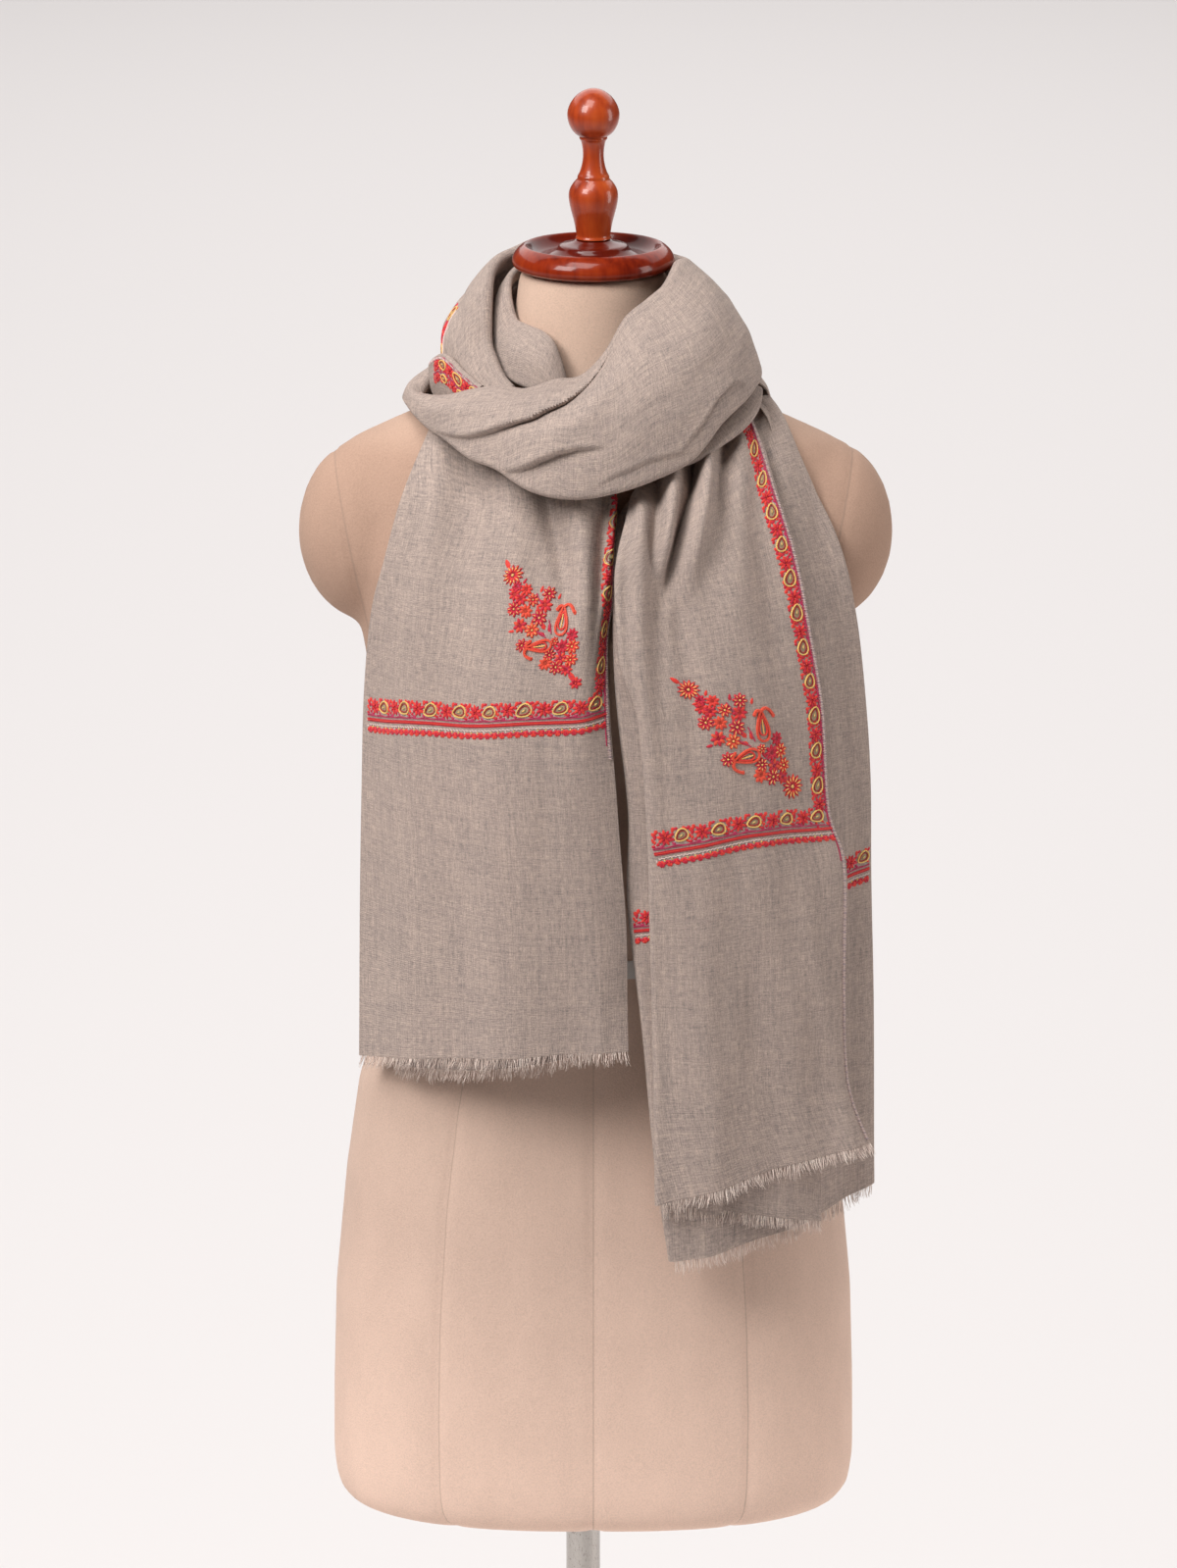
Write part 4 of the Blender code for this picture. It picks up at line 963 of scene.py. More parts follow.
def declare_sheet(points):
    """Works out the mean width and length of a grid of points; nothing is done with them."""
    across = np.linalg.norm(np.diff(points, axis=1), axis=-1).sum(1).mean()
    down = np.linalg.norm(np.diff(points, axis=0), axis=-1).sum(0).mean()


class MakeWinding(bpy.types.Operator):
    """The shawl's turns round the neck, as one run of cloth"""
    bl_idname = "shawl.make_winding"
    bl_label = "Winding"

    def execute(self, context):
        points, uv, face = winding_grid(WRAP_SECTIONS, WRAP_PLACES, stations=84, roll=ROLL,
                                        tuck=0.008, creases=WRAP_CREASES, ripple=0.0007,
                                        seed=21)
        FACES["winding"] = face
        winding = cloth_piece("winding", points, uv)
        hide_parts("shawl_collar", "shawl_band", "shawl_back_wrap")
        declare_sheet(points)
        return {"FINISHED"}


class MakeFolds(bpy.types.Operator):
    """The loose folds that stand at the winding's edges"""
    bl_idname = "shawl.make_folds"
    bl_label = "Loose folds"

    def execute(self, context):
        for name, sections, rows, stations, roll, seed in (
                ("inner_fold", INNER_FOLD_SECTIONS, 90, 26, 0.0022, 31),
                ("under_fold", UNDER_FOLD_SECTIONS, 60, 12, 0.0020, 33),
                ("edge_fold", EDGE_FOLD_SECTIONS, 50, 20, 0.0018, 35)):
            places = np.linspace(0, len(sections) - 1, rows)
            points, uv, face = winding_grid(sections, places, stations, roll, tuck=0.004,
                                            creases=(), ripple=0.0003, seed=seed)
            FACES[name] = face
            piece = cloth_piece(name, points, uv)
            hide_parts("shawl_" + name)
            declare_sheet(points)
        return {"FINISHED"}


# --- The hanging ends --------------------------------------------------------------------------

class ClothFace:
    """The outer face of a grid of cloth, looked up by lengths measured on the cloth itself."""

    def __init__(self, body, normal, u, v):
        self.body, self.normal, self.u, self.v = body, normal, u, v
        self.stations = np.arange(u.shape[1])

    def spot(self, u, v):
        """Point and normal at a length u along a row of the grid and v down it."""
        row = np.interp(v, self.v, np.arange(len(self.v)))
        low = min(int(row), len(self.v) - 2)
        mix = row - low
        spots = []
        for i in (low, low + 1):
            j = np.interp(u, self.u[i], self.stations)
            k = min(int(j), len(self.stations) - 2)
            f = j - k
            spots.append([grid[i, k] * (1 - f) + grid[i, k + 1] * f
                          for grid in (self.body, self.normal)])
        point, normal = (spots[0][n] * (1 - mix) + spots[1][n] * mix for n in (0, 1))
        return point, normal / np.linalg.norm(normal)

    def lengths_at(self, x, z):
        """Lengths (u, v) of the spot that lies at x from the axis and height z."""
        gap = (self.body[..., 0] - BODY_X - x) ** 2 + (self.body[..., 2] - z) ** 2
        i, j = np.unravel_index(np.argmin(gap), gap.shape)
        return self.u[i, j], self.v[i]

    def level_line(self, near, far, count=24):
        """Lengths (u, v) of a line that starts at height near and ends at height far."""
        start = np.interp(-near, -self.body[:, 0, 2], self.v)
        u = np.linspace(0, float(np.interp(start, self.v, self.u[:, -1])), count)
        line = []
        for k, length in enumerate(u):
            z = [self.body[i, int(np.interp(length, self.u[i], self.stations))][2]
                 for i in range(len(self.v))]
            line.append(np.interp(-(near + (far - near) * k / (count - 1)), -np.array(z), self.v))
        return u, np.array(line)


class HangingEnd:
    """A hanging end's cloth as a grid of points, each row running from left to right."""

    def __init__(self, rows, folds, folded, seed, ripple, turned, levels=190, stations=130):
        table = along_rows(rows, np.linspace(0, len(rows) - 1, levels))
        left, middle, right = (table[:, None, k:k + 3] for k in (0, 3, 6))
        a = np.linspace(0, 1, stations)[None, :, None]
        if turned:
            out, back = self.turned_edge(table[:, 5], turned)
            wide = np.linalg.norm(table[:, 6:] - table[:, :3], axis=1)
            a = a * (1 - out.max(1) / wide)[:, None, None]
        points = (left * (1 - a) * (1 - 2 * a) + middle * 4 * a * (1 - a)
                  + right * a * (2 * a - 1))
        normal = grid_normals(points)
        flip = np.sign(-normal[..., 1].mean())
        normal = normal * flip
        stand = self.folds_stand(points, folds)
        down = np.linspace(0, 1, levels)[:, None]
        across_m = a[..., 0] * steps_along(points, 1).sum(1).mean()
        down_m = down * steps_along(points, 0).sum(0).mean()
        soft = (soft_noise(across_m / 0.030 + seed, down_m / 0.170 + 1.7, seed)
                + 0.4 * soft_noise(across_m / 0.014, down_m / 0.060 + 4.2, seed + 1))
        stand += ripple * soft * (0.45 + 0.55 * down)
        inside = np.clip(np.minimum(a[..., 0], 1 - a[..., 0]) / CALM_EDGE, 0, 1)
        stand = stand * (0.35 + 0.65 * inside)
        self.body = points + normal * stand[..., None] + np.array([BODY_X, 0, 0])
        if turned:
            tangent = unit(self.body[:, -1] - self.body[:, -3])[:, None]
            added = (self.body[:, -1:] + tangent * out[..., None]
                     - normal[:, -1:] * back[..., None])
            self.body = np.concatenate([self.body, added], 1)
        self.normal = grid_normals(self.body) * flip
        from_left = np.concatenate([np.zeros((levels, 1)),
                                    np.cumsum(steps_along(self.body, 1), 1)], 1)
        self.from_right = from_left[:, -1:] - from_left
        self.fallen = np.concatenate([[0], np.cumsum(steps_along(self.body[:, -1], 0))])
        self.folded = folded
        self.face = ClothFace(self.body[:, ::-1], self.normal[:, ::-1],
                              self.from_right[:, ::-1], self.fallen)

    @staticmethod
    def turned_edge(heights, turned, steps=15):
        """How far an edge strip runs on outwards and back, where it is turned by an angle."""
        run = np.array(turned, float)
        bend = np.interp(-heights, -run[:, 0], run[:, 1]) * math.radians(1)
        strip = np.linspace(0, TURNED_BACK, steps + 1)[None, 1:]
        heading = np.minimum(strip / TURN_RADIUS, bend[:, None])
        step = TURNED_BACK / steps
        return np.cumsum(np.cos(heading), 1) * step, np.cumsum(np.sin(heading), 1) * step

    @staticmethod
    def folds_stand(points, folds):
        """How far each point stands out at the folds."""
        stand = np.zeros(points.shape[:2])
        for run in folds:
            places, heights, stands, widths = np.array(run, float)[::-1].T
            x, height, width = (np.interp(points[..., 2], heights, values)
                                for values in (places, stands, widths))
            away = (points[..., 0] - x) / (width / 1000)
            stand += height / 1000 * np.exp(-away ** 2)
        return stand

    def grid(self):
        """All points of the piece, with its folded edges turned back, and their UV places."""
        columns = [self.body]
        u = [-self.from_right]
        for side in self.folded:
            edge, inner = (0, 2) if side == "left" else (-1, -3)
            corner = self.body[:, edge]
            along = unit(corner - self.body[:, inner])
            outward = unit(np.stack([along[:, 1], -along[:, 0], 0 * along[:, 0]], -1))
            outward *= -np.sign(outward[:, 1:2])
            strip = np.stack(roll_points(corner, outward, along, FOLD_ROLL, TURN_UNDER, 7), 1)
            away = np.cumsum(steps_along(np.concatenate([corner[:, None], strip], 1), 1), 1)
            if side == "left":
                columns.insert(0, strip[:, ::-1])
                u.insert(0, (-self.from_right[:, :1] - away)[:, ::-1])
            else:
                columns.append(strip)
                u.append(-self.from_right[:, -1:] + away)
        u = np.concatenate(u, 1)
        uv = np.stack([u, self.fallen[:, None] * np.ones_like(u)], -1)
        return np.concatenate(columns, 1), uv


ENDS = {}               # the hanging ends, for the fringe and the needlework


class MakeEnds(bpy.types.Operator):
    """The shawl's hanging ends"""
    bl_idname = "shawl.make_ends"
    bl_label = "Hanging ends"

    def execute(self, context):
        for name, node, rows, folds, folded, seed, ripple in TAILS:
            turned = LEFT_TURNED if name == "end_left" else ()
            end = HangingEnd(rows, folds, folded, seed, ripple, turned, *END_GRIDS.get(name, ()))
            ENDS[name] = end
            points, uv = end.grid()
            piece = cloth_piece(name, points, uv)
            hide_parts("shawl_" + node)
            declare_sheet(points)
        return {"FINISHED"}


# --- Fringe ------------------------------------------------------------------------------------

HEM_CORNER = 0.0004     # no thread stands nearer to a hem's corner
TUFT_PITCH = 0.00075    # room that a tuft has for each of its threads


def tube(points, radius, sides=3, taper=0.5):
    """Vertices and faces of a thin closed tube along points."""
    points = np.asarray(points)
    count = len(points)
    way = unit(np.gradient(points, axis=0))
    side = unit(np.cross(way, np.array([0.31, 0.87, 0.38])))
    other = np.cross(way, side)
    verts, faces = [], []
    for k in range(count):
        r = radius * (1 - (1 - taper) * k / (count - 1))
        for s in range(sides):
            a = math.tau * s / sides
            verts.append(points[k] + (side[k] * math.cos(a) + other[k] * math.sin(a)) * r)
    join_rings(faces, 0, count, sides)
    return verts, faces


def join_rings(faces, base, rings, count):
    """Add the side faces and the two lids of a stack of rings, each of so many vertices."""
    for ring in range(rings - 1):
        a, b = base + ring * count, base + (ring + 1) * count
        for i in range(count):
            j = (i + 1) % count
            faces.append([a + i, a + j, b + j, b + i])
    last = base + (rings - 1) * count
    faces.append(list(range(base, base + count))[::-1])
    faces.append(list(range(last, last + count)))


class MakeFringe(bpy.types.Operator):
    """Loose thread ends at the hems"""
    bl_idname = "shawl.make_fringe"
    bl_label = "Fringe"

    def execute(self, context):
        material = fringe_material()
        length = context.scene.shawl.fringe_length
        for number, (name, node, *_) in enumerate(TAILS):
            rng = np.random.RandomState(100 + number)
            verts, faces = [], []
            for line, radius in self.threads(ENDS[name], length, rng):
                thread_verts, thread_faces = tube(line, radius)
                faces += [[len(verts) + i for i in face] for face in thread_faces]
                verts += thread_verts
            piece = add_object("threads_" + name, verts, faces, material, "fringe")
            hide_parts("fringe_" + node)
        return {"FINISHED"}

    @staticmethod
    def threads(end, length, rng):
        """Line and radius of each thread along a hem; a few at a time lean together in a tuft."""
        hem = end.body[-1]
        fall = unit(end.body[-1] - end.body[-4])
        span = np.concatenate([[0], np.cumsum(steps_along(hem, 0))])
        place = HEM_CORNER
        left_in_tuft = 0
        while place < span[-1] - HEM_CORNER:
            if left_in_tuft <= 0:
                left_in_tuft = rng.randint(3, 8)
                aim = rng.uniform(-0.22, 0.22)
                lean = rng.uniform(0.02, 0.40)
                reach = length * rng.uniform(0.85, 1.25)
                centre = place + TUFT_PITCH * left_in_tuft / 2
            at, way, out = (np.array([np.interp(place, span, row[:, k]) for k in range(3)])
                            for row in (hem, fall, end.normal[-1]))
            side = np.cross(way, out)
            draw = (centre - place) * 0.75
            wild = rng.uniform(-1, 1, 3)
            this = reach * rng.uniform(0.75, 1.15)
            line = []
            for t in (0.0, 0.2, 0.4, 0.6, 0.8, 1.0):
                sway = (draw * t ** 1.3 + this * aim * t * t
                        + 0.0012 * wild[0] * math.sin(2.6 * t + wild[1]))
                lift = this * lean * t * t + 0.0011 * wild[2] * t
                line.append(at + way * (this * t * (1 - 0.06 * abs(aim)) - 0.0016)
                            + side * sway + out * lift)
            yield line, rng.uniform(0.00019, 0.00030)
            place += rng.uniform(0.00040, 0.00070)
            left_in_tuft -= 1


# --- Needlework --------------------------------------------------------------------------------

CRIMSON = (0.560, 0.020, 0.045)
CORAL = (0.740, 0.048, 0.036)
MAGENTA = (0.480, 0.035, 0.105)
CREAM = (0.860, 0.560, 0.170)
SCARLET = (0.760, 0.080, 0.040)
PALE = (0.740, 0.600, 0.560)
OLIVE = (0.330, 0.270, 0.140)
GREY_OLIVE = (0.400, 0.300, 0.190)
DARK_RED = (0.380, 0.022, 0.030)
LILAC = (0.500, 0.400, 0.430)

SUNK = 0.0004           # how deep a pad's stitches sink into the cloth
CORD_SECTION = ((-0.5, -0.35), (-0.3, 0.35), (0.3, 0.35), (0.5, -0.35))
HEADING_STEP = 0.001    # length over which a heading is read off a curved layout


class Needlework:
    """Stitches that are laid on a cloth, each as a small raised pad or a thin cord."""

    def __init__(self, spot):
        self.spot = spot
        self.verts = []
        self.faces = []
        self.colours = []

    def pad(self, outline, colour, height=0.0006):
        """A raised patch of satin stitch inside an outline of (u, v) points."""
        outline = np.asarray(outline, float)
        centre = outline.mean(0)
        base = len(self.verts)
        for scale, lift in ((1.0, 0.0002), (1.0, 0.55 * height), (0.55, height)):
            for u, v in centre + (outline - centre) * scale:
                point, normal = self.spot(u, v)
                self.verts.append(point + normal * (CLOTH_WALL / 2 + lift - SUNK))
        join_rings(self.faces, base, 3, len(outline))
        self.colours += [colour] * (len(self.verts) - base)

    def cord(self, path, colour, width=0.0008, lift=0.0003):
        """A chain-stitched line through (u, v) points."""
        places = [self.spot(u, v) for u, v in path]
        line = np.array([p + n * (CLOTH_WALL / 2 + lift) for p, n in places])
        normals = np.array([n for _, n in places])
        side = np.cross(unit(np.gradient(line, axis=0)), normals)
        base = len(self.verts)
        for k in range(len(line)):
            for across, up in CORD_SECTION:
                self.verts.append(line[k] + side[k] * across * width + normals[k] * up * width)
        join_rings(self.faces, base, len(line), len(CORD_SECTION))
        self.colours += [colour] * (len(self.verts) - base)

    def finish(self, name):
        """The stitches as one piece, with their colours in an attribute."""
        piece = add_object(name, self.verts, self.faces, bpy.data.materials["embroidery_thread"],
                           "shawl")
        shape = bmesh.new()
        shape.from_mesh(piece.data)
        bmesh.ops.recalc_face_normals(shape, faces=shape.faces)
        shape.to_mesh(piece.data)
        shape.free()
        layer = piece.data.color_attributes.new("thread", "FLOAT_COLOR", "POINT")
        flat = np.concatenate([np.array(self.colours), np.ones((len(self.colours), 1))], 1)
        layer.data.foreach_set("color", flat.reshape(-1).astype(np.float32))
        piece.data.color_attributes.render_color_index = 0
        shade_with_edges(piece, STITCH_SHARP)


def oval(centre, heading, length, width, sides=14, point=0.35):
    """Closed line of an oval that is pointed at its tip and rounded at its foot."""
    points = []
    for k in range(sides + 1):
        a = math.tau * k / sides
        along = 0.5 * length * math.cos(a)
        across = 0.5 * width * math.sin(a) * (1 - point * math.cos(a))
        points.append((centre[0] + along * math.cos(heading) - across * math.sin(heading),
                       centre[1] + along * math.sin(heading) + across * math.cos(heading)))
    return points


def leaf(centre, heading, length, width, sides=8):
    """Outline of a leaf or petal."""
    return oval(centre, heading, length, width, sides)[:-1]


def ring_of(centre, radius, count, turn=0.0):
    """Places spaced evenly round a centre, each with its heading outwards."""
    for k in range(count):
        a = turn + math.tau * k / count
        yield (centre[0] + radius * math.cos(a), centre[1] + radius * math.sin(a)), a


def heading_from(a, b):
    """Heading of the line from one place on the cloth to another."""
    return math.atan2(b[1] - a[1], b[0] - a[0])


def heading_on(to_cloth, s, t, degrees, step=HEADING_STEP):
    """Heading on the cloth of a direction in a layout."""
    way = math.radians(degrees)
    return heading_from(to_cloth(s, t),
                        to_cloth(s + step * math.cos(way), t + step * math.sin(way)))


def flower(work, centre, radius, petals, colour, heart=None, turn=0.0, tips=None, other=None):
    """A full round flower: a ring of petals over a disc, and a heart."""
    work.pad(leaf(centre, 0, 1.40 * radius, 1.40 * radius, 10), times_colour(0.55, colour), 0.0007)
    for k, (middle, a) in enumerate(ring_of(centre, 0.62 * radius, petals, turn)):
        work.pad(leaf(middle, a, 0.86 * radius, 4.3 * radius / petals, 6),
                 other if other and k % 2 else colour, 0.0012)
        if tips:
            work.pad(leaf(middle, a, 0.60 * radius, 0.15 * radius, 4), tips, 0.0016)
    if heart:
        work.pad(leaf(centre, 0, 0.30 * radius, 0.30 * radius, 6), heart, 0.0015)


def medallion(work, centre, heading, size=1.0):
    """A pointed oval with a cream outline, a dark red one inside it and an olive heart."""
    for length, width, sides, colour, height in (
            (0.0092, 0.0060, 10, GREY_OLIVE, 0.0007), (0.0050, 0.0026, 6, OLIVE, 0.0011),
            (0.0036, 0.0011, 4, CREAM, 0.0014)):
        work.pad(leaf(centre, heading, length * size, width * size, sides), colour, height)
    for length, width, sides, colour, line in ((0.0106, 0.0074, 14, CREAM, 0.0010),
                                               (0.0078, 0.0048, 12, DARK_RED, 0.0007)):
        work.cord(oval(centre, heading, length * size, width * size, sides), colour, line, 0.0005)


# Buds of one repeat of the border: share of its length, place across, size, colour, turn.
BORDER_BUDS = (
    (0.41, -0.0044, 0.0042, CORAL, 70), (0.44, -0.0018, 0.0034, CRIMSON, 10),
    (0.86, -0.0044, 0.0044, CORAL, 50), (0.90, -0.0014, 0.0042, CRIMSON, 80),
    (0.97, 0.0006, 0.0036, CORAL, 110), (0.44, 0.0014, 0.0036, CRIMSON, 150),
    (0.00, -0.0046, 0.0040, CRIMSON, 20), (0.85, 0.0034, 0.0034, CRIMSON, 30),
    (0.42, 0.0042, 0.0032, MAGENTA, 150), (0.98, 0.0042, 0.0034, CRIMSON, 10),
    (0.04, 0.0036, 0.0030, CORAL, 160), (0.76, 0.0048, 0.0034, MAGENTA, 0),
    (0.10, -0.0050, 0.0034, CORAL, 160), (0.33, -0.0050, 0.0034, CRIMSON, 20),
    (0.94, -0.0030, 0.0038, CORAL, 100), (0.92, 0.0020, 0.0030, CORAL, 60))
BORDER_LEAVES = ((0.38, 0.0030, 40), (0.05, 0.0020, 140), (0.88, 0.0046, 60), (0.34, 0.0046, 10),
                 (0.12, 0.0048, 170))


def border_repeat(work, to_cloth, start, length, rng, small, plain):
    """One repeat of the border: a medallion, a full flower, buds, leaves and a vine."""

    def at(s, t):
        return to_cloth(start + s * length, t * small)

    def heading(s, t, degrees):
        return heading_on(to_cloth, start + s * length, t * small, degrees)

    for s, t, size, colour, degrees in BORDER_BUDS:
        work.pad(leaf(at(s, t), heading(s, t, degrees + rng.uniform(-15, 15)), size * small,
                      size * 0.6 * small, 6), colour, 0.0008)
    for s, t, degrees in BORDER_LEAVES:
        work.pad(leaf(at(s, t), heading(s, t, degrees), 0.0026 * small, 0.0010 * small, 4), LILAC,
                 0.0006)
    tilt = rng.uniform(8, 34)
    if not plain:
        medallion(work, at(0.20, rng.uniform(-0.0004, 0.0004)), heading(0.2, 0, tilt),
                  rng.uniform(0.92, 1.08) * small)
    first, second = (CORAL, CRIMSON) if rng.rand() < 0.5 else (CRIMSON, CORAL)
    centre = at(0.64, rng.uniform(-0.0006, 0.0002))
    flower(work, centre, 0.0052 * small, 9, first, None, rng.uniform(0, 1), None, second)
    for k, (place, a) in enumerate(ring_of(centre, 0.0016 * small, 5, math.tau * 0.5 / 5)):
        work.pad(leaf(place, a, 0.0026 * small, 0.0014 * small, 4), first if k % 2 else second,
                 0.0015)
    vine = [at(s, 0.0056 + 0.0005 * math.sin(2 * math.tau * s)) for s in np.linspace(0, 1, 9)]
    work.cord(vine, MAGENTA, 0.0007)


def border_run(work, to_cloth, start, end, repeat, seed, small=1.0, corner=False):
    """A border from one length to another; after a corner its first medallion is left out."""
    rng = np.random.RandomState(seed)
    count = max(1, round((end - start) / (repeat * small)))
    step = (end - start) / count
    for k in range(count):
        border_repeat(work, to_cloth, start + k * step, step, rng, small, corner and k == 0)


def line_run(work, to_cloth, start, end, t, colour, width, pitch=0.003):
    """A stitched line beside a border."""
    count = max(3, int((end - start) / pitch))
    work.cord([to_cloth(s, t) for s in np.linspace(start, end, count)], colour, width)


SPRIG = (
    # along, across, turn in degrees, length, which of two reds
    (0.0, 0.0004, 90, 0.0046, 0), (-0.0013, -0.0004, 125, 0.0036, 1),
    (0.0013, -0.0004, 55, 0.0036, 1), (-0.0011, 0.0013, 60, 0.0028, 0),
    (0.0011, 0.0013, 120, 0.0028, 0), (0.0026, 0.0002, 90, 0.0024, 1),
    (0.0024, -0.0018, 90, 0.0018, 2))


def sprig_run(work, to_cloth, start, end, t, seed):
    """A row of little sprigs that touch: a bud between leaves, again and again."""
    rng = np.random.RandomState(seed)
    count = max(1, round((end - start) / 0.0052))
    step = (end - start) / count
    for k in range(count):
        s = start + (k + 0.5) * step
        swap = rng.rand() < 0.4
        reds = (CRIMSON, CORAL) if swap else (CORAL, CRIMSON)
        colours = (*reds, CREAM if k % 3 else PALE)
        for ds, dt, turn, size, which in SPRIG:
            a = to_cloth(s + ds, t + dt + rng.uniform(-0.0002, 0.0002))
            way = math.radians(turn + rng.uniform(-14, 14))
            b = to_cloth(s + ds + HEADING_STEP * math.cos(way),
                         t + dt + HEADING_STEP * math.sin(way))
            work.pad(leaf(a, heading_from(a, b), size, size * 0.5, 6), colours[which], 0.0010)


def curled_drop(work, to_cloth, s, t, turn, size, colour, inner):
    """A curled drop: a full foot that narrows to a hooked tip, drawn with three lines."""

    def placed(path):
        c, d = math.cos(turn), math.sin(turn)
        return [to_cloth(s + x * c - y * d, t + x * d + y * c) for x, y in path]

    for scale, thread, width in ((1.0, colour, 0.0018), (0.62, CORAL, 0.0013)):
        outline = []
        for k in range(19):
            x, y = math.cos(math.tau * k / 18), math.sin(math.tau * k / 18)
            outline.append((x * 0.5 * size * scale, y * (0.37 - 0.27 * x) * 0.5 * size * scale))
        work.cord(placed(outline), thread, width, 0.0005)
    work.cord(placed([(share * size, 0) for share in (-0.26, -0.02, 0.20)]), inner, 0.0009,
              0.0005)
    tip = 0.44 * size
    out = 1 if t > 0 else -1
    for side, reach in ((out, 0.58), (-out, 0.28)):
        hook = []
        for k in range(7):
            a = k / 6
            hook.append((tip + reach * size * (0.95 * a - 1.25 * a * a),
                         side * reach * size * (0.9 * a - 0.1 * a * a)))
        work.cord(placed(hook), colour, 0.0024, 0.0005)
        work.pad(leaf(placed(hook[-1:])[0], 0, 0.16 * size, 0.16 * size, 6), colour, 0.0011)


SPRAY_FLOWERS = [
    # along the spray, to its side, radius, colour, second colour, tips
    (0.0150, 0.0006, 0.0038, CRIMSON, CORAL, None), (0.0190, -0.0048, 0.0042, CORAL, None, CREAM),
    (0.0205, 0.0052, 0.0046, CRIMSON, None, CREAM), (0.0240, 0.0, 0.0040, CRIMSON, SCARLET, None),
    (0.0270, 0.0096, 0.0042, SCARLET, None, None), (0.0262, -0.0094, 0.0044, CORAL, None, CREAM),
    (0.0300, -0.0044, 0.0044, CRIMSON, None, None), (0.0305, 0.0050, 0.0038, CRIMSON, None, CREAM),
    (0.0325, -0.0128, 0.0038, CRIMSON, None, None), (0.0470, 0.0170, 0.0040, CRIMSON, None, CREAM),
    (0.0515, 0.0072, 0.0044, SCARLET, None, CREAM), (0.0550, -0.0004, 0.0048, CRIMSON, None, CREAM),
    (0.0585, 0.0122, 0.0042, CRIMSON, SCARLET, None),
    (0.0590, -0.0082, 0.0044, CORAL, CRIMSON, None),
    (0.0635, -0.0144, 0.0044, CRIMSON, None, CREAM), (0.0635, 0.0046, 0.0040, SCARLET, None, None),
    (0.0665, -0.0034, 0.0040, CRIMSON, SCARLET, CREAM),
    (0.0690, 0.0102, 0.0044, CRIMSON, None, CREAM),
    (0.0715, 0.0030, 0.0038, CRIMSON, CORAL, None), (0.0745, -0.0032, 0.0038, CORAL, None, None),
    (0.0760, 0.0048, 0.0038, CORAL, CRIMSON, None), (0.0795, 0.0008, 0.0032, CRIMSON, None, None),
]
SPRAY_LEAVES = [
    # along the spray, to its side, turn in degrees, length
    (0.0195, 0.0032, 60, 0.0050), (0.0260, 0.0125, 70, 0.0046), (0.0255, -0.0110, -70, 0.0046),
    (0.0460, -0.0030, -35, 0.0060), (0.0460, 0.0035, 35, 0.0060), (0.0500, 0.0000, 0, 0.0070),
    (0.0610, 0.0045, 20, 0.0050), (0.0600, -0.0030, -20, 0.0050), (0.0580, -0.0190, -60, 0.0046),
    (0.0590, 0.0190, 60, 0.0046), (0.0690, 0.0135, 50, 0.0050), (0.0690, -0.0120, -50, 0.0050),
    (0.0330, 0.0000, 0, 0.0050), (0.0800, 0.0050, 60, 0.0046), (0.0800, -0.0050, -60, 0.0046),
]
SPRAY_TWIGS = ((0.0420, -0.002, -20), (0.0420, 0.002, 20), (0.0500, 0.0, 0), (0.0230, 0.0, 0),
               (0.0600, 0.006, 12), (0.0600, -0.006, -12))


def corner_spray(work, foot, heading, seed, size, full_foot):
    """A tall spray that leans over a corner: foot, stem, curled drops, flowers, rosette."""
    rng = np.random.RandomState(seed)
    c, d = math.cos(heading), math.sin(heading)
    stretch = 1.10 if full_foot else 1.0

    def to_cloth(s, t):
        s, t = s * size * stretch, t * size
        return foot[0] + s * c - t * d, foot[1] + s * d + t * c

    if full_foot:
        flower(work, to_cloth(0.0060, 0), 0.0074 * size, 13, CRIMSON, CREAM, 0.2, CREAM, CORAL)
    else:
        flower(work, to_cloth(0.0030, 0), 0.0042 * size, 7, CRIMSON, CORAL, 0.2, None, CORAL)
        work.pad(leaf(to_cloth(0.0090, 0), heading, 0.009 * size, 0.0036 * size, 8), CORAL, 0.0009)
    work.cord([to_cloth(0.008 + 0.0014 * k, 0.0006 * math.sin(k)) for k in range(8)], MAGENTA,
              0.0010)
    for s, t, radius, colour, other, tips in SPRAY_FLOWERS:
        flower(work, to_cloth(s, t), 1.12 * radius * size, 8, colour, CREAM if tips else None,
               rng.uniform(0, 1), tips, other)
    for s, t, degrees, length in SPRAY_LEAVES:
        work.pad(leaf(to_cloth(s, t), heading + math.radians(degrees), length * size,
                      length * 0.42 * size, 6), CORAL if rng.rand() < 0.6 else CRIMSON, 0.0008)
    curled_drop(work, to_cloth, 0.0445, -0.0120, math.radians(-42), 0.0180, SCARLET, CREAM)
    curled_drop(work, to_cloth, 0.0400, 0.0085, math.radians(60), 0.0165, SCARLET, CREAM)
    flower(work, to_cloth(0.0365, -0.0015), 0.0030 * size, 7, CORAL, CREAM, 0.4, CREAM, CRIMSON)
    for s, t, degrees in SPRAY_TWIGS:
        a = math.radians(degrees)
        work.cord([to_cloth(s + 0.0022 * k * math.cos(a), t + 0.0022 * k * math.sin(a))
                   for k in range(5)], MAGENTA, 0.0009)
    work.cord([to_cloth(0.0780 + 0.001 * k, 0) for k in range(5)], MAGENTA, 0.0010)
    flower(work, to_cloth(0.0880, 0.0), 0.0070 * size, 13, CRIMSON, CREAM, 0.1, CREAM, CORAL)
    work.pad(leaf(to_cloth(0.0975, 0.0), heading, 0.0070 * size, 0.0030 * size, 8), CORAL, 0.0009)


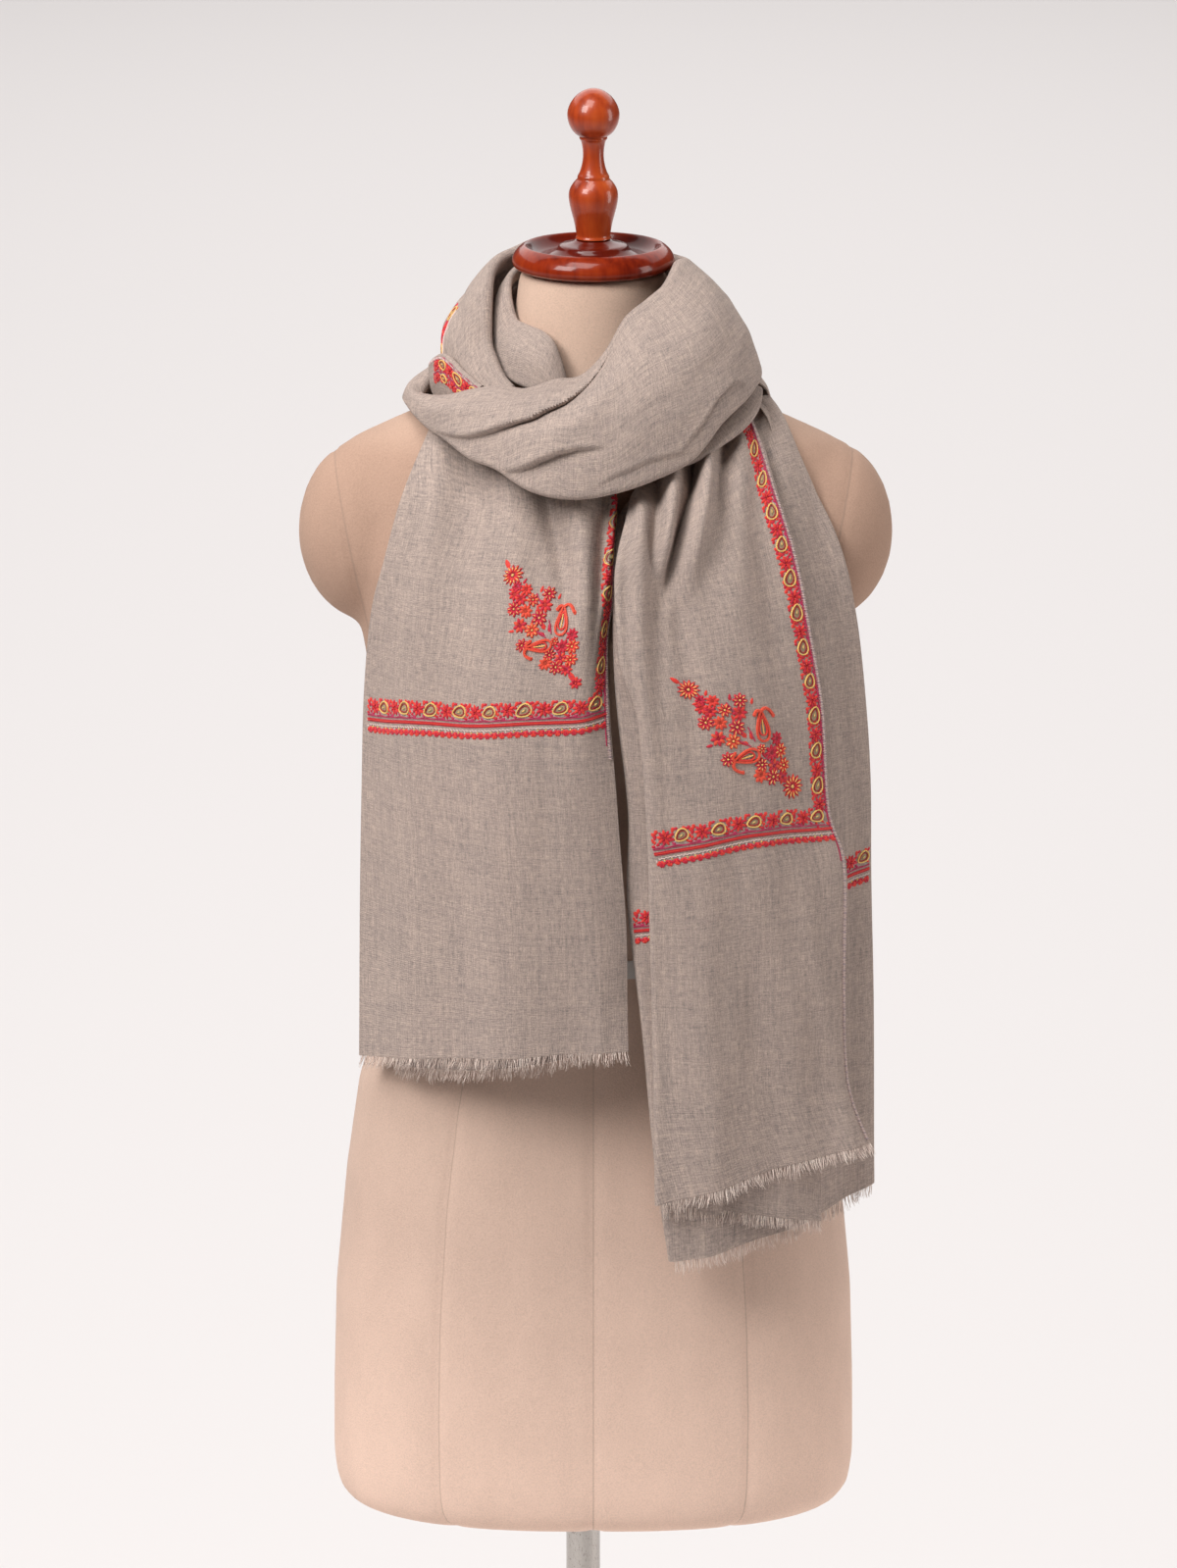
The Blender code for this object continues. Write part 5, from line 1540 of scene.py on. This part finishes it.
def edge_overcast(work, to_cloth, start, end, reach=0.0014):
    """Slanting stitches that bind the selvedge with pale thread."""
    pitch = 0.0011
    for k in range(int((end - start) / pitch)):
        s = start + (k + 0.5) * pitch
        heading = heading_on(to_cloth, s, 0.0, 0, 0.0005) + 1.25
        work.pad(leaf(to_cloth(s, 0.5 * reach), heading, reach + 0.0010, 0.0010, 4),
                 PALE if k % 4 else LILAC, 0.0013)


BORDER_LINES = ((0.0062, MAGENTA, 0.0006), (0.0080, CRIMSON, 0.0006), (0.0088, CORAL, 0.0011),
                (0.0097, CRIMSON, 0.0006))
ZIGZAG_PITCH = 0.0013
ZIGZAG_PLACE = 0.0118
SPRIG_PLACE = 0.0154
HEM_GAP = 0.0005        # a border stops this far short of the cloth's edge


def lines_and_sprigs(work, across, start, width, seed):
    """Below the border: fine lines, a pale zigzag and the row of sprigs."""
    for t, colour, line in BORDER_LINES:
        line_run(work, across, start, width, t, colour, line)
    work.cord([across(start + ZIGZAG_PITCH * k, ZIGZAG_PLACE + 0.0007 * (k % 2))
               for k in range(int((width - start) / ZIGZAG_PITCH))], PALE, 0.0006)
    sprig_run(work, across, start, width, SPRIG_PLACE, seed)


CORNERS = [
    # hanging end, piece, seed, heights of the border's ends, place of the upright border, foot
    # and top of the spray from the body's axis, its size, whether it has a full foot, how far
    # the edge is bound below the corner, how far the border bows up
    ("end_left", "needlework_left", 41, (1.3795, 1.3562), 0.0086, (-0.0101, 1.3907),
     (-0.0608, 1.4788), 0.98, False, 0.04, 0.0018),
    ("end_right_front", "needlework_right", 51, (1.2903, 1.2857), 0.0088, (0.1345, 1.3125),
     (0.0509, 1.3950), 1.12, True, 0.30, 0.0080),
]

# The border that comes out at the neck: (turn, share of the way from rim to lip).
NECK_PATH = ((112, 0.02), (102, 0.16), (93, 0.32), (87.5, 0.50), (84.5, 0.70), (83, 0.90),
             (82, 0.99))
NECK_WIDTH = 0.080      # width of the winding there


class MakeNeedlework(bpy.types.Operator):
    """Embroidered borders, corner sprays and bound edges"""
    bl_idname = "shawl.make_needlework"
    bl_label = "Needlework"

    def execute(self, context):
        thread_material()
        repeat = context.scene.shawl.repeat
        for corner in CORNERS:
            self.end_corner(repeat, *corner)
        self.back_end(repeat)
        self.neck_borders(repeat)
        return {"FINISHED"}

    def end_corner(self, repeat, name, piece, seed, heights, inset, foot_at, top_at, size,
                   full_foot, bound, rise):
        """A corner of border on a hanging end, with the spray that leans over it."""
        face = ENDS[name].face
        work = Needlework(face.spot)
        line_u, line_v = face.level_line(*heights)
        corner = line_v[0]
        width = line_u[-1] - HEM_GAP

        def across(s, t):
            bow = rise * (0.2 + 3.2 * (s / width) * (1 - s / width))
            return s, np.interp(s, line_u, line_v) + t - bow + 0.0006 * math.sin(s / 0.013)

        border_run(work, across, 0.0075, width, repeat, seed)
        border_run(work, lambda s, t: (inset - t, corner - s), -0.004, corner - 0.010, repeat,
                   seed + 1, corner=True)
        lines_and_sprigs(work, across, 0.003, width, seed + 2)
        line_run(work, lambda s, t: (t, s), 0.010, corner + 0.030, 0.0041, MAGENTA, 0.0007)
        edge_overcast(work, lambda s, t: (t + 0.0010, s), 0.010,
                      min(corner + bound, face.v[-1] - 0.002), 0.0026)
        foot, top = face.lengths_at(*foot_at), face.lengths_at(*top_at)
        corner_spray(work, foot, heading_from(foot, top), seed + 3, size, full_foot)
        work.finish(piece)

    def back_end(self, repeat):
        """The border and its lines where the back layer shows them."""
        face = ENDS["end_right_back"].face
        work = Needlework(face.spot)
        line_u, line_v = face.level_line(1.2556, 1.2316)
        width = line_u[-1] - HEM_GAP

        def across(s, t):
            return s, np.interp(s, line_u, line_v) + t

        border_run(work, across, HEM_GAP, width, repeat, 61)
        lines_and_sprigs(work, across, HEM_GAP, width, 65)
        work.finish("needlework_back")

    def neck_borders(self, repeat):
        """The border where it shows at the neck: on the turned-over edge and the outer side."""
        work = Needlework(FACES["edge_fold"].spot)
        border_run(work, lambda s, t: (0.0048 - t, s), 0.002, 0.050, repeat, 71, 0.78)
        edge_overcast(work, lambda s, t: (t, s), 0.002, 0.060)
        border_run(work, lambda s, t: (0.0135 - t, s), 0.014, 0.050, repeat, 73, 0.66)
        work.finish("needlework_fold")
        face = FACES["winding"]
        work = Needlework(face.spot)
        turns = along_rows(WRAP_SECTIONS, WRAP_PLACES)[:FIRST_TURN, 0]
        path = np.array(NECK_PATH)
        path_v = np.interp(path[:, 0], turns, face.v[:FIRST_TURN])
        path_u = path[:, 1] * NECK_WIDTH

        def slanting(s, t):
            return s, np.interp(s, path_u, path_v) + t

        border_run(work, slanting, 0.030, 0.074, repeat, 75)
        line_run(work, slanting, 0.030, 0.076, -0.0068, PALE, 0.0010)
        work.finish("needlework_neck")


# --- Stage -------------------------------------------------------------------------------------

CAMERA_PLACE = (BODY_X, -5.0, 2.60285)
CAMERA_TILT = math.radians(90 - 14.75)
CAMERA_LENS = 176.94
CAMERA_SHIFT = -0.0031
LIGHTS = [
    # name, place, target, size, power, colour
    ("key", (-2.4, -2.3, 4.0), (0, 0, 1.25), (1.8, 1.8), 150, (1.0, 0.985, 0.97)),
    ("top", (-0.7, -1.3, 4.3), (0, 0, 1.3), (1.6, 1.6), 62, (1.0, 0.985, 0.97)),
    ("front", (-0.4, -4.6, 2.2), (0, 0, 1.2), (3.6, 1.2), 3, (1.0, 0.94, 0.88)),
    ("side", (3.2, -0.5, 1.8), (0, 0, 1.2), (1.0, 2.6), 42, (1.0, 0.96, 0.93)),
    ("backdrop", (0, 7.7, 3.8), (0, 7.7, 0), (8.0, 13.6), 480, (1.0, 0.985, 0.98)),
]


def soft_light(name, place, target, size, power, colour):
    """A broad rectangular lamp that shines from its place towards its target."""
    data = bpy.data.lights.new(name, "AREA")
    data.shape = "RECTANGLE"
    data.size, data.size_y = size
    data.energy = power
    data.color = colour
    lamp = bpy.data.objects.new(name, data)
    lamp.location = place
    aim = Vector(target) - Vector(place)
    lamp.rotation_euler = aim.to_track_quat("-Z", "Y").to_euler()
    bpy.context.scene.collection.objects.link(lamp)


class MakeStage(bpy.types.Operator):
    """Pale floor, soft lights and the camera"""
    bl_idname = "shawl.make_stage"
    bl_label = "Stage"

    def execute(self, context):
        bpy.ops.object.select_all(action="DESELECT")
        bpy.ops.mesh.primitive_plane_add(size=60, location=(0, 0, 0))
        floor = bpy.context.active_object
        floor.name = "floor"
        paint = Finish("studio_floor", 0.95, Specular_IOR_Level=0.0)
        floor.data.materials.append(paint.done((0.80, 0.775, 0.772)))
        world = bpy.data.worlds.new("studio")
        world.use_nodes = True
        sky = world.node_tree.nodes["Background"]
        sky.inputs["Color"].default_value = (1.0, 0.92, 0.85, 1)
        sky.inputs["Strength"].default_value = 0.075
        context.scene.world = world
        for light in LIGHTS:
            soft_light(*light)
        data = bpy.data.cameras.new("camera")
        data.sensor_fit = "AUTO"
        data.sensor_width = 36
        data.lens = CAMERA_LENS
        data.shift_x = CAMERA_SHIFT
        data.clip_start = 0.1
        data.clip_end = 60
        camera = bpy.data.objects.new("camera", data)
        camera.location = CAMERA_PLACE
        camera.rotation_euler = (CAMERA_TILT, 0, 0)
        context.scene.collection.objects.link(camera)
        context.scene.camera = camera
        context.scene.view_settings.view_transform = "Standard"
        return {"FINISHED"}


class ShawlPanel(bpy.types.Panel):
    bl_idname = "VIEW3D_PT_shawl"
    bl_label = "Pashmina shawl"
    bl_space_type = "VIEW_3D"
    bl_region_type = "UI"
    bl_category = "Shawl"

    def draw(self, context):
        layout = self.layout
        for group in (context.scene.shawl, context.scene.form):
            for name in group.__annotations__:
                layout.prop(group, name)
        for maker in MAKERS:
            layout.operator(maker.bl_idname)


MAKERS = (MakeBody, MakeTape, MakeWood, MakeStand, MakeWinding, MakeFolds, MakeEnds, MakeFringe,
          MakeNeedlework, MakeStage)
CLASSES = (ShawlSettings, FormSettings, *MAKERS, ShawlPanel)


def register():
    for item in CLASSES:
        bpy.utils.register_class(item)
    bpy.types.Scene.shawl = PointerProperty(type=ShawlSettings)
    bpy.types.Scene.form = PointerProperty(type=FormSettings)


def unregister():
    del bpy.types.Scene.form
    del bpy.types.Scene.shawl
    for item in reversed(CLASSES):
        bpy.utils.unregister_class(item)


def main():
    register()
    wool_material()
    for maker in MAKERS:
        group, name = maker.bl_idname.split(".")
        getattr(getattr(bpy.ops, group), name)()


if __name__ == "__main__":
    main()
